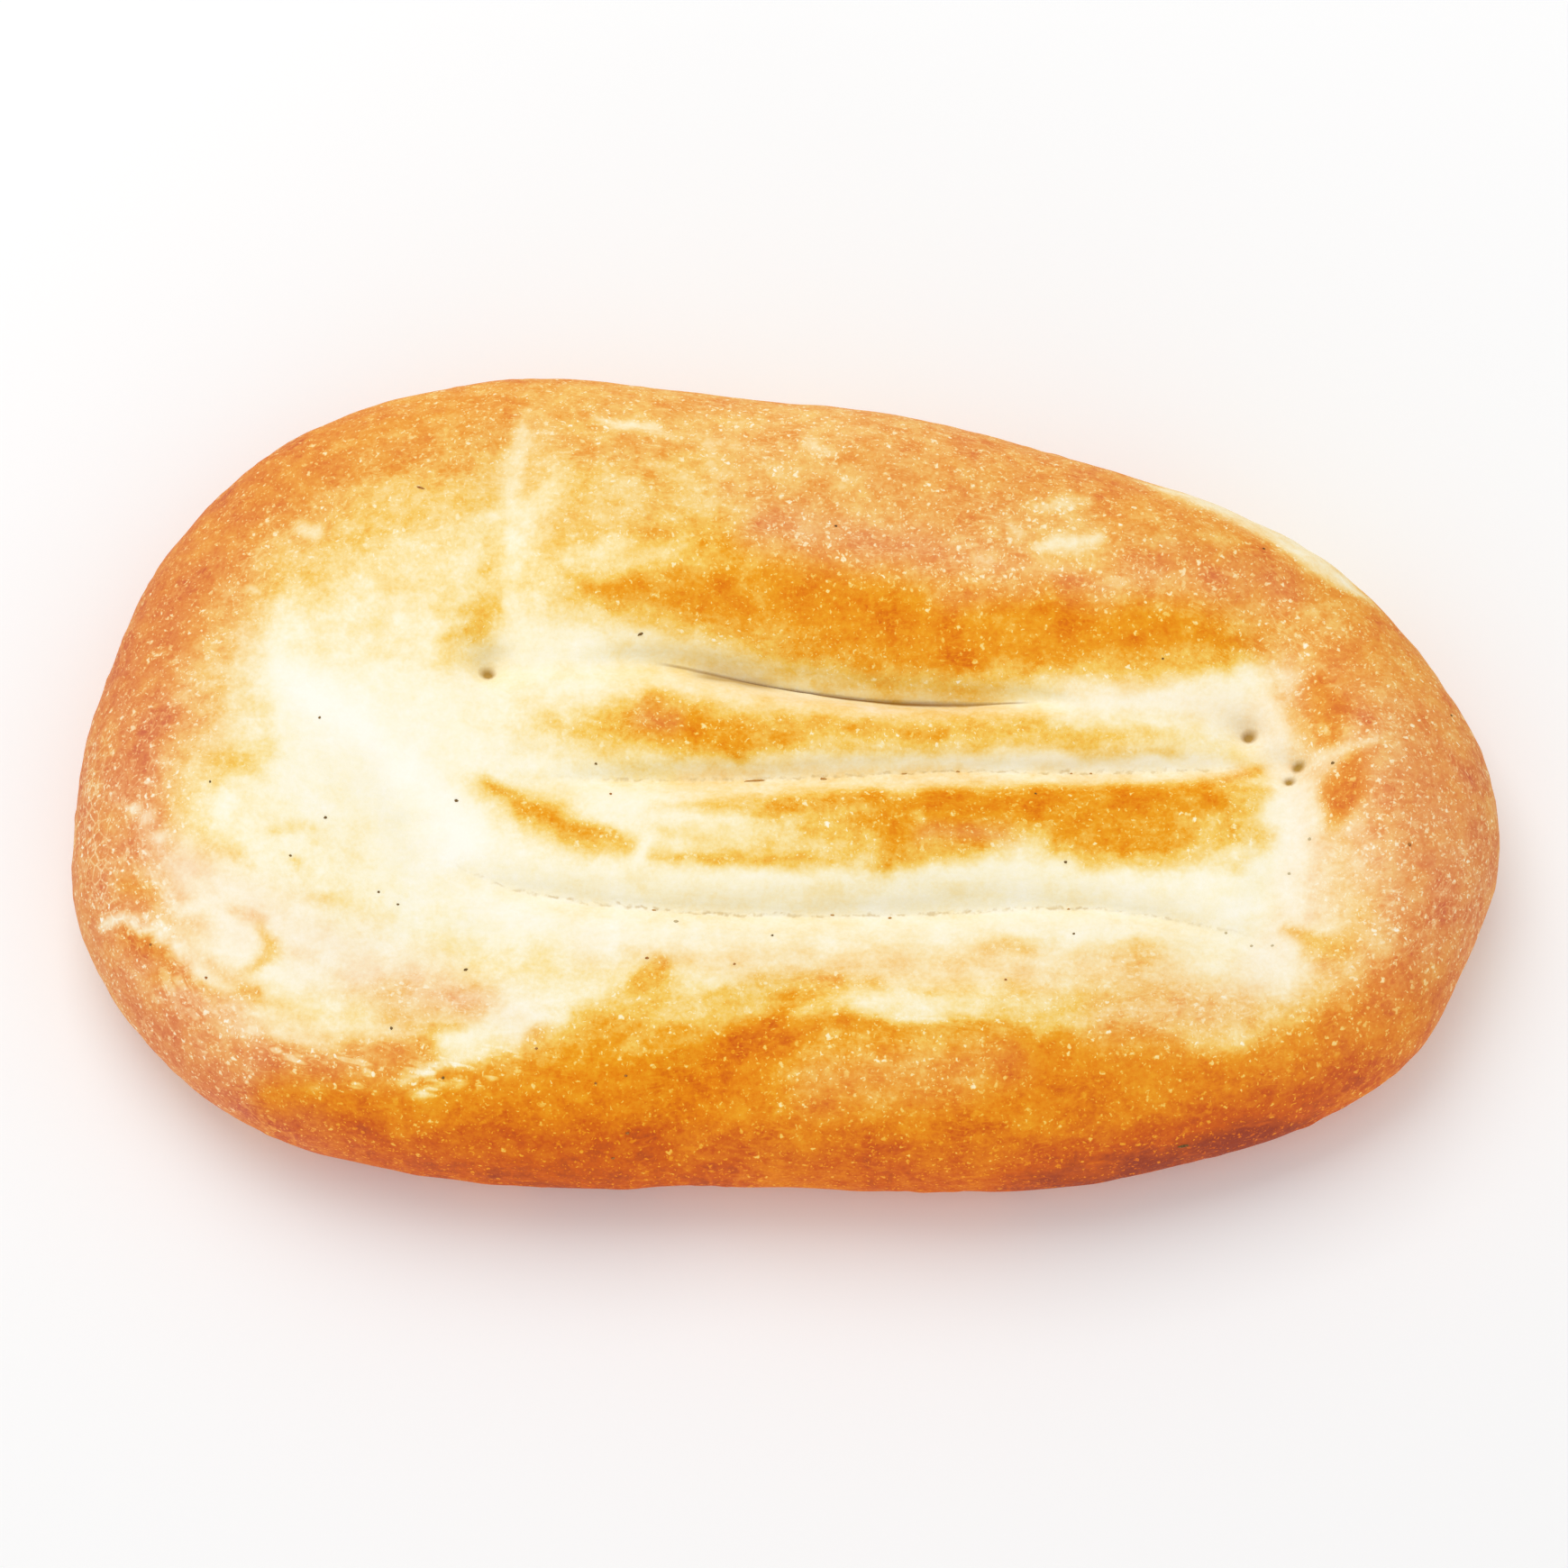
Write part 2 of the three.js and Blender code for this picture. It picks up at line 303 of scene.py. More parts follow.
# The crust's relief: lumps of gas under the skin, blisters and fine wrinkles, which move the skin
# along its own normal. The base keeps flat.

NOISE_SEED = 41
NOISE_CELLS = 64
NOISE_CORNERS = np.random.default_rng(NOISE_SEED).uniform(-1, 1, (NOISE_CELLS, NOISE_CELLS, NOISE_CELLS))
LUMPS = ((0.35, 17.0, 3.1), (0.2, 7.0, 11.7))  # height, size, and the shift to a part of the noise
WRINKLES = (0.16, 2.6, 29.3)
WRINKLE_STRETCH = (0.35, 1.0, 1.0)  # they run along the loaf
BLISTERS = (0.25, 6.0, 5.5)
BLISTER_RADIUS = 0.12  # of the smallest, in cubes
BLISTER_SPREAD = 0.38  # the most that a random draw adds to it
BLISTER_SCATTER = 0.3  # from the middle of the cube
BLISTER_DRAWS = (7, 14, 21)  # steps through the noise from a cube to its blister's place
BLISTER_RADIUS_DRAW = 35  # and to its radius
CRUST_RUNS_OUT = (0.5, 1.0)  # shares of the turn under the loaf


def random_at(corners):
    """The random number from -1 to 1 that stands at each corner of the noise's cubes."""
    return NOISE_CORNERS[tuple((corners % NOISE_CELLS).T)]


def dough_noise(points, size, shift):
    """A smooth random field from -1 to 1: random numbers at the corners of cubes of a size, eased
    between the corners. The shift takes another part of the same field."""
    place = points / size + shift
    low = np.floor(place).astype(int)
    t = place - low
    t = t * t * (3 - 2 * t)
    total = np.zeros(len(points))
    for corner in np.ndindex(2, 2, 2):
        weight = np.prod(np.where(np.array(corner) == 1, t, 1 - t), axis=1)
        total += weight * random_at(low + corner)
    return total


def blisters(points, size, shift):
    """Round domes, one in each cube of a size at a random place: highest at the middle of a dome, 0
    from a random radius of up to half a cube outwards."""
    place = points / size + shift
    low = np.floor(place).astype(int)
    highest = np.zeros(len(points))
    for step in np.ndindex(3, 3, 3):
        cube = low + np.array(step) - 1
        scatter = np.stack([random_at(cube + draw) for draw in BLISTER_DRAWS], axis=1)
        radius = BLISTER_RADIUS + BLISTER_SPREAD * np.abs(random_at(cube + BLISTER_RADIUS_DRAW)) ** 2
        gap = np.linalg.norm(place - cube - 0.5 - BLISTER_SCATTER * scatter, axis=1) / radius
        highest = np.maximum(highest, np.maximum(1 - gap**2, 0) * radius * 2)
    return highest


def raised(pattern, points, row):
    """A pattern at points, times the height that its row gives, with the row's size and shift."""
    height, size, shift = row
    return height * pattern(points, size, shift)


loaf_mesh = bpy.data.meshes.new("flatbread_crust")
quads = np.concatenate([top_quads.reshape(-1, 4), ring_quads.reshape(-1, 4)])
loaf_mesh.from_pydata(skin, [], quads.tolist() + base_fan.tolist())
loaf_mesh.update()
normals = np.empty(len(skin) * 3)
loaf_mesh.vertices.foreach_get("normal", normals)
normals = normals.reshape(-1, 3)

crusted = 1 - ease(*CRUST_RUNS_OUT, skin_under)
relief = (sum(raised(dough_noise, skin, row) for row in LUMPS)
          + raised(dough_noise, skin * np.array(WRINKLE_STRETCH), WRINKLES)
          + raised(blisters, skin, BLISTERS))
skin = skin + normals * (relief * crusted)[:, None]

box_middle = (skin.max(axis=0) + skin.min(axis=0)) / 2
plan_shift = np.array([box_middle[0], box_middle[1], 0.0])
loaf_mesh.vertices.foreach_set("co", ((skin - plan_shift) * MILLIMETRE).ravel())
loaf_mesh.shade_smooth()
loaf_mesh.update()


# The browning: the oven colours the crust most where it stands highest and at the rim, and leaves the
# pressed parts pale. A band along the rim, and brush strokes laid over it one after another in plan, give
# how far each point is baked, from 0 for raw dough to 1 for char.

RIM = np.array([  # at equal steps of angle, as the outline: level, the insets of its fade, bloom
    (0.63, 24, 46, 0.70), (0.61, 24, 46, 0.35), (0.60, 30, 56, 0.40), (0.57, 40, 60, 0.50),
    (0.50, 36, 60, 0.45), (0.56, 24, 50, 0.35), (0.67, 11, 48, 0.45), (0.70, 12, 39, 0.70),
    (0.67, 15, 44, 0.90), (0.63, 13, 30, 0.90), (0.61, 8, 22, 0.85), (0.71, 15, 27, 0.05),
    (0.68, 23, 31, 0.05), (0.71, 23, 31, 0.05), (0.66, 6, 20, 0.20), (0.63, 13, 38, 0.86),
])
PALE_LEVEL = 0.12

STROKES = (  # level, strength, feather, path of (x, y, half width); a half width below 0 runs it out
    # Broad tones: the pressed middle, the cream bed on the left, the golden back and the front bed.
    (0.27, 0.9, 16, ((-45, 0, 14), (0, -6, 18), (60, -6, 18), (92, -6, 12))),
    (0.12, 0.9, 12, ((-64, -4, 4), (-50, -7, 5), (-36, -12, 4), (-24, -16, 3))),
    (0.45, 0.85, 16, ((-112, 28, 3), (-100, 38, 6), (-84, 44, 9), (-68, 48, 7))),
    (0.32, 0.8, 12, ((-70, 40, 4), (-68, 30, 5), (-66, 20, 3))),
    (0.44, 0.9, 14, ((-50, 36, 5), (-40, 48, 10), (-22, 52, 9))),
    (0.53, 0.7, 8, ((-40, 40, 2), (-26, 40, 3.5), (-12, 39, 2))),
    (0.36, 0.7, 8, ((-55, 33, 2), (-47, 30, 3))),
    (0.56, 0.8, 9, ((-26, 40, 2), (-10, 42, 4), (10, 40, 5), (40, 38, 4), (60, 35, 5), (80, 34, 5),
                    (96, 32, 4))),
    (0.21, 0.8, 14, ((-120, -28, 6), (-95, -32, 8), (-80, -46, 8), (-60, -48, 6))),
    (0.31, 0.9, 10, ((-90, -56, 4), (-60, -54, 5), (-10, -50, 4), (30, -52, 7), (75, -54, 8),
                     (92, -56, 6))),
    (0.42, 0.8, 9, ((46, -58, 3), (70, -57, 4), (90, -60, 4), (104, -59, 3))),
    (0.48, 0.8, 10, ((-124, -14, 4), (-120, -26, 4))),
    (0.44, 0.8, 7, ((-104, -60, 2.5), (-90, -64, 4), (-72, -63, 4.5), (-60, -61, 3))),
    (0.24, 0.8, 16, ((-100, 18, 4), (-84, 24, 7), (-72, 24, 4))),
    (0.40, 0.7, 12, ((-100, 32, 4), (-84, 36, 6), (-72, 36, 4))),
    (0.00, 0.95, 15, ((-106, 13, 3), (-94, 3, 6), (-80, -8, 7), (-66, -22, 6), (-54, -33, 3))),
    (0.14, 0.9, 10, ((-60, 12, 5), (-50, 15, 8), (-38, 17, 5))),
    (0.28, 0.7, 6, ((-52, 28, 2), (-44, 27, 3), (-36, 25, 2))),
    (0.33, 0.7, 8, ((-66, -10, 2), (-58, -17, 3), (-50, -23, 3), (-42, -27, 2))),
    (0.22, 0.9, 8, ((-36, 21, 2), (-24, 20, 3), (-10, 14, 2))),
    (0.12, 0.9, 9, ((50, 9, 2.5), (80, 10, 4.5), (98, 8, 5))),
    (0.15, 0.9, 8, ((-60, -26, 2), (-44, -31, 3), (-20, -35, 3), (20, -36, 3), (60, -34, 3),
                    (90, -35, 5))),
    (0.15, 0.9, 6, ((-66, -30, 3), (-48, -37, 2.4), (-20, -41, 2.6), (20, -42, 2.4), (60, -40, 2),
                    (90, -41, 3))),
    # Back rim: mottled gold with darker patches and pale ones.
    (0.50, 0.7, 5, ((-43, 64, 0.8), (-34, 64, 1.8), (-26, 63, 1.2))),
    (0.18, 0.8, 3, ((-40, 71.5, 0.6), (-34, 68.5, 1.7), (-26, 66.5, 1.2), (-22.5, 65, 0.6))),
    (0.22, 0.7, 3, ((4, 65, 1), (10, 63, 1.4))),
    (0.60, 0.6, 9, ((14, 60, 4), (30, 59, 4), (50, 57, 3))),
    (0.57, 0.6, 9, ((6, 50, 3), (24, 50, 4), (38, 48, 3))),
    (0.58, 0.6, 6, ((62, 46, 2), (70, 48, 2.5), (80, 46, 2.5))),
    (0.70, 0.75, 8, ((82, 36, 2.5), (90, 35, 3.5), (104, 33, 3.5))),
    (0.50, 0.7, 6, ((73, 42, 1.5), (82, 40, 1.8))),
    (0.60, 0.6, 6, ((43, 34.5, 1.5), (53, 33.5, 1.5))),
    (0.42, 0.6, 8, ((44, 46, 4), (56, 45, 5), (66, 41, 3))),
    (0.24, 0.9, 2.5, ((53, 39, 1), (57, 40, 2), (66, 41, 1))),
    (0.24, 0.8, 2.5, ((47, 44, 1), (49, 42, 1.2))),
    (0.26, 0.7, 2.5, ((39, 37, 1), (42, 36, 1.4))),
    (0.32, 0.7, 3, ((53, 49, 1), (63, 51, 1.3))),
    (0.60, 0.7, 8, ((-80, 74, 3), (-72, 72, 3), (-88, 66, 3))),
    (0.58, 0.6, 6, ((-82, 62, 2.3), (-76, 62, 2.6))),
    (0.21, 0.8, 4, ((-55, 72, 0.9), (-56, 66, 2.2), (-58, 52, 2.4))),
    (0.66, 0.7, 6, ((-79, 72, 1.5), (-74, 74, 2), (-68, 75, 1.5))),
    (0.30, 0.7, 5, ((-52.5, 72, 1), (-52, 66, 1.6), (-52.5, 61, 1))),
    (0.32, 0.7, 7, ((-68, 52, 1.5), (-61.5, 54, 2))),
    (0.30, 0.7, 3, ((-25, 54, 1.2), (-22, 53.5, 1.2))),
    (0.33, 0.6, 7, ((-50, 66, 2), (-48, 58, 3))),
    (0.30, 0.8, 3, ((-28, 58, 1.4), (-23, 56, 1.4))),
    (0.32, 0.7, 3, ((-18, 66, 1.2), (-10, 65, 1.4))),
    (0.61, 0.6, 5, ((-20, 37, 1.5), (0, 38, 2.5), (20, 36, 2.5), (38, 34, 2))),
    (0.46, 0.7, 8, ((104, 26, 4), (112, 24, 5))),
    (0.64, 0.7, 5, ((56, 31, 2.5), (70, 30, 3), (84, 28, 2))),
    # Deep brown slope behind the upper groove.
    (0.50, 0.9, 6, ((-46, 32, 1), (-30, 28, 3), (-14, 24, 3.4), (2, 19.5, 3.6), (20, 15.5, 4),
                    (40, 14.5, 4), (60, 15, 3.5), (78, 15, 3), (92, 16, 3))),
    (0.61, 1.0, 7, ((-42, 31, 1.5), (-26, 30, 5), (-8, 29, 7.5), (8, 26.5, 10), (24, 24.2, 9.5),
                    (40, 23.5, 8.2), (56, 24, 8.5), (72, 23, 6), (92, 21.5, 4), (99, 20, 2.5))),
    (0.67, 0.8, 7, ((-14, 31, 2), (2, 30, 4), (20, 24, 4), (34, 20, 3), (52, 20, 3.5), (64, 23, 3),
                    (80, 22, 3))),
    (0.40, 0.8, 2.5, ((-56, 31, 0.5), (-49, 30, 0.8), (-43, 29, 1.2))),
    (0.55, 0.6, 6, ((32, 28.5, 1.5), (42, 28.5, 2), (51, 29, 1.5))),
    (0.62, 0.9, 3, ((2, 23, 1.6), (11, 21, 2.4), (24.5, 19, 2.6), (40.5, 19.5, 2.4), (54, 20, 1.6))),
    (0.45, 0.7, 2, ((9.5, 14, 0.5), (25.5, 13.5, 0.8), (40, 14.6, 0.8), (52, 14.5, 0.4))),
    (0.42, 0.7, 4, ((-50, 26, 0.8), (-35, 25, 1.4), (-21, 24, 1.2))),
    (0.33, 0.7, 4, ((-24, 21.5, 1), (-13, 20, 1.4), (1, 16, 1.2), (10, 14, 0.6))),
    (0.57, 0.75, 3, ((-20, 26, 0.8), (-14, 25, 1.6), (-4.5, 23, 2), (7, 21, 2))),
    (0.32, 0.6, 2.5, ((-47, 32, 0.8), (-33, 33.5, 1), (-25, 35.5, 0.8), (-18, 39, 0.6))),
    (0.24, 0.4, 4, ((-18, 74, 0.3), (-15, 65, 0.5), (-14, 50, 0.5), (-17, 42, 0.6), (-25, 37, 0.8),
                    (-34, 33, 0.6))),
    # Left crease: a pale line, with gold to its left.
    (0.42, 0.9, 6, ((-61, 42, 1.2), (-62, 35, 2), (-63, 25, 3.4), (-69, 20, 1.2))),
    (0.50, 0.8, 4, ((-62, 27, 1.4), (-65, 24, 1.6))),
    (0.36, 0.6, 6, ((-70, 27, 2), (-70, 16, 2))),
    (0.44, 0.7, 4, ((-59.5, 38, 0.6), (-59.5, 33, 1), (-59, 25, 1))),
    (0.19, 0.8, 2.5, ((-57.5, 55, 0.6), (-57, 43, 0.9), (-55, 37, 0.9), (-56, 31, 0.9), (-56, 24, 1))),
    # Left bed: gold flecks in the cream.
    (0.26, 0.7, 9, ((-86, 24, 3), (-81, 18, 3))),
    (0.36, 0.8, 8, ((-108, 27.5, 2), (-101.5, 26.5, 2.6), (-92, 27.5, 2))),
    (0.24, 0.7, 7, ((-114, 20.5, 1.6), (-111, 14, 2))),
    (0.52, 0.8, 7, ((-124, 14, 1.6), (-119, 9, 2))),
    (0.34, 0.8, 8, ((-116.5, 11.5, 1.5), (-112, 6.5, 1.8), (-108, 0, 2))),
    (0.48, 0.8, 8, ((-130, -15, 1.8), (-121.5, -13.5, 2.6), (-110, -9.5, 1.8))),
    (0.26, 0.7, 8, ((-111.5, -16.5, 2), (-112, -24.5, 2), (-113.5, -30.5, 1.5))),
    (0.44, 0.8, 8, ((-130, -9, 2), (-117, -9, 3), (-106, -6, 2))),
    (0.16, 0.85, 5, ((-121.5, -26, 1.4), (-120.5, -29.5, 1.8), (-122, -33, 1.4))),
    (0.44, 0.8, 2.5, ((-125, -22, 1), (-123.5, -25.5, 1.3))),
    (0.34, 0.8, 2, ((-104, -23, 1), (-98, -22, 1))),
    (0.36, 0.8, 2, ((-116, -26, 0.8), (-114, -27, 0.8), (-108, -30, 0.8))),
    (0.50, 0.8, 1, ((-100, -29, 0.6), (-99, -30, 0.6))),
    (0.34, 0.8, 2, ((-96, -36, 0.7), (-89, -36, 1))),
    (0.34, 0.7, 4, ((-103, -48, 2), (-96, -49, 2))),
    (0.42, 0.8, 2.5, ((-112, -40, 1), (-108, -40, 1.5))),
    (0.50, 0.95, 3, ((-108, -42.5, 0.6), (-105.5, -46, 1.8), (-106, -48.5, 2), (-108, -51, 1))),
    (0.46, 0.9, 2, ((-114, -54, 0.5), (-108, -56, 1.1))),
    (0.40, 0.7, 3, ((-123, -41, 1.8), (-120, -43, 1.8))),
    (0.44, 0.8, 7, ((-88, -58, 1), (-78, -57, 2.6), (-70, -58, 2.6), (-62, -57, 1.5))),
    (0.52, 0.8, 3, ((-79, -58, 1), (-77, -57, 1.3))),
    (0.50, 0.9, 2, ((-72, -66, 0.8), (-66, -66, 1))),
    (0.10, 0.85, 4, ((-122, -45.5, 1), (-115.5, -47, 2), (-111.5, -47.5, 1.6))),
    (0.12, 0.85, 3, ((-106, -60, 0.5), (-98.5, -60, 1.1), (-90.5, -60, 0.6))),
    (0.10, 0.8, 3, ((-122, -39, 1.2), (-117, -39, 1.2))),
    # Left rim: orange patches between torn, pale lines.
    (0.66, 0.9, 2, ((-135, -32.5, 1.4), (-132.5, -33.5, 2), (-129.5, -34.5, 1.6))),
    (0.66, 0.9, 2, ((-136, -42, 1.5), (-132, -44, 2.8), (-125, -49, 1.8))),
    (0.60, 0.9, 2, ((-129, -51.5, 1.2), (-118, -53.5, 1.5), (-108, -56, 1.2))),
    (0.66, 0.8, 3, ((-141, -21, 2), (-133, -24, 1.5))),
    (0.12, 0.9, 1.5, ((-135, -17, 0.6), (-131.5, -19.5, 1), (-129, -24, 0.8), (-125.5, -29, 0.6),
                      (-126, -33, 0.4))),
    (0.32, 0.7, 4, ((-131, -24, 1.5), (-129, -32, 2), (-127, -38, 1.5))),
    (0.32, 0.7, 4, ((-132, -40, 1.5), (-124, -44, 2), (-118, -49, 2))),
    (0.14, 0.9, 2, ((-124, -46, 0.8), (-118, -51, 1.2), (-112, -55, 1))),
    (0.12, 0.9, 1.5, ((-141, -40, 0.7), (-136, -39, 1), (-129, -42, 0.7), (-122, -48, 0.9))),
    (0.16, 0.85, 2.5, ((-103, 44, 1), (-99, 43, 1.6))),
    (0.16, 0.8, 2, ((-112.5, 30.5, 0.6), (-111, 30, 0.8))),
    (0.30, 0.7, 3, ((-126, 6, 1.2), (-120, 8, 1.4))),
    # Lower left: torn, pale streaks over orange.
    (0.24, 0.8, 2, ((-111, -59, 0.5), (-102, -61, 0.7), (-93, -64, 0.9), (-82, -65, 0.9))),
    (0.56, 0.9, 2, ((-91, -68, 0.6), (-86, -67, 1.2), (-78, -68, 1.5), (-71, -69, 1))),
    (0.34, 0.6, 5, ((-124, -54, 1.5), (-110, -60, 2.5), (-96, -64, 2.5), (-84, -66, 1.5))),
    (0.62, 0.9, 3, ((-98, -73, 1), (-88, -73, 1.8), (-78, -73, 1.6), (-71, -73, 1))),
    (0.24, 0.7, 5, ((-112, -62, 1), (-100, -64, 2), (-84, -63, 1.6))),
    (0.18, 0.8, 2, ((-103.5, -63.5, 0.4), (-100, -65.5, 0.8), (-95, -67, 0.8), (-90, -69.5, 0.3))),
    (0.72, 0.6, 5, ((-118, -70, -3), (-106, -77, 1.2), (-92, -82.5, 1.6), (-76, -86, 1.5),
                    (-62, -88, -3))),
    # Front rim: gold behind, orange in front.
    (0.52, 0.9, 5, ((-60, -70, 2.4), (-48, -66, 3.4), (-37, -62, 4.4), (-28, -57, 4), (-26, -52, 2))),
    (0.62, 0.85, 5, ((-48, -72, 2), (-38, -68, 3), (-28, -64, 3))),
    (0.46, 0.9, 4, ((-24, -58, 3.2), (-15, -60, 3.6), (-5, -56, 4), (4, -55, 3.2), (11, -55, 2.4),
                    (20, -55.5, 1.6))),
    (0.54, 0.8, 2.5, ((-31, -55, 1), (-26, -52, 1.4))),
    (0.22, 0.7, 6, ((-55.5, -57, 1.4), (-51, -60, 1.4))),
    (0.22, 0.7, 5, ((-42.5, -50.5, 1.4), (-39.5, -56, 1))),
    (0.17, 0.85, 3, ((-67, -70, 0.2), (-60, -68, 0.8), (-53, -65.5, 1.2), (-45, -62, 0.8))),
    (0.65, 0.8, 7, ((-60, -78, 3), (-45, -76, 4), (-31, -75, 4.4), (-18, -72, 3.4))),
    (0.73, 0.8, 9, ((-92, -80, 2), (-80, -82, 3.4), (-57, -83, 5), (-35, -82, 5))),
    (0.58, 0.75, 4, ((-111, -62, 1), (-98, -69.5, 1.6), (-83, -72.5, 1.6), (-71, -72.5, 0.8))),
    (0.22, 0.8, 3, ((-86, -64.5, 0.8), (-77, -64.5, 1))),
    (0.16, 0.8, 3, ((-62.5, -66.5, 0.6), (-54, -65, 1), (-49.5, -63.5, 0.6))),
    (0.50, 0.7, 5, ((-54, -72.5, 1.4), (-48, -71, 1.8), (-43, -69, 1.4))),
    (0.20, 0.85, 1.6, ((-81, -74.5, 0.1), (-69.5, -73, 0.7), (-63, -72, 0.9), (-53, -67, 0.9))),
    (0.12, 0.85, 2, ((-61, -69, 0.3), (-53, -65.5, 1), (-48.5, -62.5, 0.6))),
    (0.26, 0.8, 1.2, ((-76, -76, 0.1), (-72, -76.3, 0.6), (-63.5, -77, 0.3))),
    (0.52, 0.9, 2, ((6, -55, 2), (12, -54, 2.2))),
    (0.54, 0.7, 6, ((-26, -65, 3), (-20, -69, 2.4))),
    (0.80, 0.7, 7, ((-52, -84, 2), (-36, -83, 4), (-24, -85, 2))),
    # Painted shade: a darker band down the shaded flank of the fold across the front rim.
    (0.74, 0.9, 4, ((2, -57, 0.8), (-3, -62, 1.3), (-10, -70, 2), (-18, -79, 2.2), (-26, -87, 1.8))),
    (0.66, 0.9, 2.5, ((1, -62, 1.2), (8, -63, 1.6), (15, -63, 1))),
    (0.56, 0.9, 10, ((6, -73, 5), (22, -74, 7), (36, -73, 5))),
    (0.52, 0.7, 6, ((-24, -67, 1.6), (-16, -67.5, 1.6))),
    (0.52, 0.7, 7, ((-1, -73.5, 2), (0, -81, 2))),
    (0.48, 0.75, 7, ((11, -66.5, 2), (22.5, -67, 2.4), (36, -68, 2.4), (50, -67, 2.4), (59, -68.5, 1.6))),
    (0.34, 0.7, 6, ((21, -57, 1.6), (38, -58, 1.6))),
    (0.52, 0.85, 4, ((-1.5, -57.5, 2), (5, -59, 2.4), (13.5, -60, 1))),
    (0.45, 0.7, 5, ((39, -62, 1), (48, -62.5, 1.6), (54.5, -64, 1.2))),
    (0.26, 0.85, 2, ((14, -60.5, 0.1), (23, -60.8, 0.7), (33, -61.8, 0.8), (42, -63.2, 0.2))),
    (0.42, 0.8, 7, ((42, -60, 1.5), (53, -58, 3), (66, -58, 3), (80, -60, 3), (95, -61, 2))),
    (0.52, 0.7, 5, ((76, -64, 2), (88, -65, 2.5))),
    (0.46, 0.7, 5, ((46, -62, 1.2), (55, -60, 2.6), (63, -60, 2))),
    (0.69, 0.8, 4, ((52, -70, 2), (59, -69, 5), (68, -69, 7), (82, -73, 5), (101, -75, 2.6),
                    (116, -67, 2))),
    (0.78, 0.8, 8, ((70, -84, 2), (84, -81, 2.4), (103, -75, 2.6), (120, -67, 2.4), (132, -54, 2))),
    (0.94, 0.9, 5, ((26, -91, -5), (60, -91, 1.6), (84, -86.5, 1.6), (108, -78, 0.8), (126, -69, -4))),
    (0.80, 0.7, 5, ((-100, -83, -5), (-60, -91, 1.2), (-34, -91, 1), (-6, -90, -5))),
    (0.73, 0.7, 6, ((4, -88, 1.6), (14, -85, 2.4), (24, -83, 2.6), (34, -85, 2.4))),
    (0.44, 0.6, 6, ((6, -69.5, 1.6), (15, -70, 1.6))),
    (0.62, 0.6, 6, ((-41, -69, 2), (-31, -69.5, 2))),
    (0.72, 0.6, 4, ((-17, -85.5, 1.6), (-9, -85, 1.6))),
    # Bed in front of the lower groove: gold patches.
    (0.45, 0.9, 4, ((42, -47, 1.2), (51, -46, 1.6))),
    (0.38, 0.8, 4, ((33, -50, 1.6), (40, -50, 1.4))),
    (0.36, 0.8, 3, ((22, -51, 1.1), (27, -50, 1.1))),
    (0.40, 0.8, 3, ((26, -56, 1), (30, -58, 1.2))),
    (0.42, 0.9, 6, ((67, -49, 1.8), (74, -48, 3))),
    (0.38, 0.7, 5, ((55, -47.5, 1.2), (69, -47.5, 1.4))),
    (0.24, 0.6, 5, ((32.5, -53.5, 1.2), (52, -53, 1.2))),
    (0.36, 0.6, 5, ((2, -53.5, 1.2), (17, -54.5, 1.2))),
    # Ridge behind the middle groove.
    (0.44, 0.9, 7, ((-48, 3, 2), (-34, 2.5, 5), (-20, 2.5, 6), (-5, 0, 5), (8, 1, 3.5), (40, 1, 3),
                    (64, 1.5, 1.5))),
    (0.60, 0.9, 6, ((-36, 3, 1.2), (-27, 3.5, 4.2), (-17, 2.5, 4.6), (-8, 0.5, 3.6), (0, -1.5, 1.4))),
    (0.69, 0.8, 5, ((-27, 5, 1.8), (-19, 3, 2.2))),
    (0.34, 0.8, 2.5, ((-33, -5, 1), (-30, -6, 1))),
    (0.38, 0.5, 4, ((-39, 3.3, 1.2), (-32.5, 2.8, 1.2))),
    (0.34, 0.7, 4, ((-51, -1.3, 1), (-40, -2, 1.4))),
    (0.06, 0.7, 6, ((-51, 17.5, 1.5), (-48, 8, 1.5))),
    (0.50, 0.9, 4, ((0, 3, 1.2), (17, 2.5, 1.6), (36, 1.5, 1.5), (54, 0.5, 1.2), (64, 0.5, 0.8),
                    (78, 1.5, 0.5))),
    (0.57, 0.9, 3, ((12, 2, 1), (22, 1.5, 1.4), (32, 0.5, 1))),
    # Middle groove, and the ridge in front of it.
    (0.21, 0.85, 3, ((-22, -5.6, 0.5), (10, -5.2, 1), (40, -4.6, 1.2), (70, -4.2, 1.4), (94, -4, 1.2))),
    (0.06, 0.85, 2.5, ((24, -5, 0.3), (40, -4.6, 0.8), (70, -4.2, 1), (92, -4, 0.8))),
    (0.47, 0.7, 2, ((-8, -2.2, 0.5), (25, -2.2, 0.7), (47, -2, 0.7), (80, -1.6, 0.4))),
    (0.34, 0.8, 2, ((4, -8.2, 0.2), (14.3, -7.8, 0.8), (24.8, -6.6, 1), (36.6, -6, 0.6))),
    (0.58, 0.95, 4.5, ((-62, -10.5, 1.2), (-52, -15.5, 3), (-43, -21, 3.4), (-33, -25.5, 2.2))),
    (0.37, 0.9, 6, ((-24, -22, 2), (-8, -22, 5), (4, -22, 6))),
    (0.52, 0.9, 6, ((8, -21, 4), (16, -22, 6))),
    (0.09, 0.9, 6, ((-36, -14, 2.4), (-22, -18, 3.4), (-10, -19.5, 2.2))),
    (0.50, 0.9, 3, ((-26, -27.5, 0.8), (-14, -28.5, 1.6), (0, -27.5, 1.5), (12, -27.5, 1.5))),
    (0.52, 0.9, 4, ((-16, -16.5, 0.4), (-10, -17, 1.8), (-4, -16.5, 2.6), (7, -15.5, 3),
                    (20, -15.5, 3.6))),
    (0.40, 0.8, 3, ((-28, -16.2, 0.8), (-20.5, -16, 1.2), (-14, -16.5, 1))),
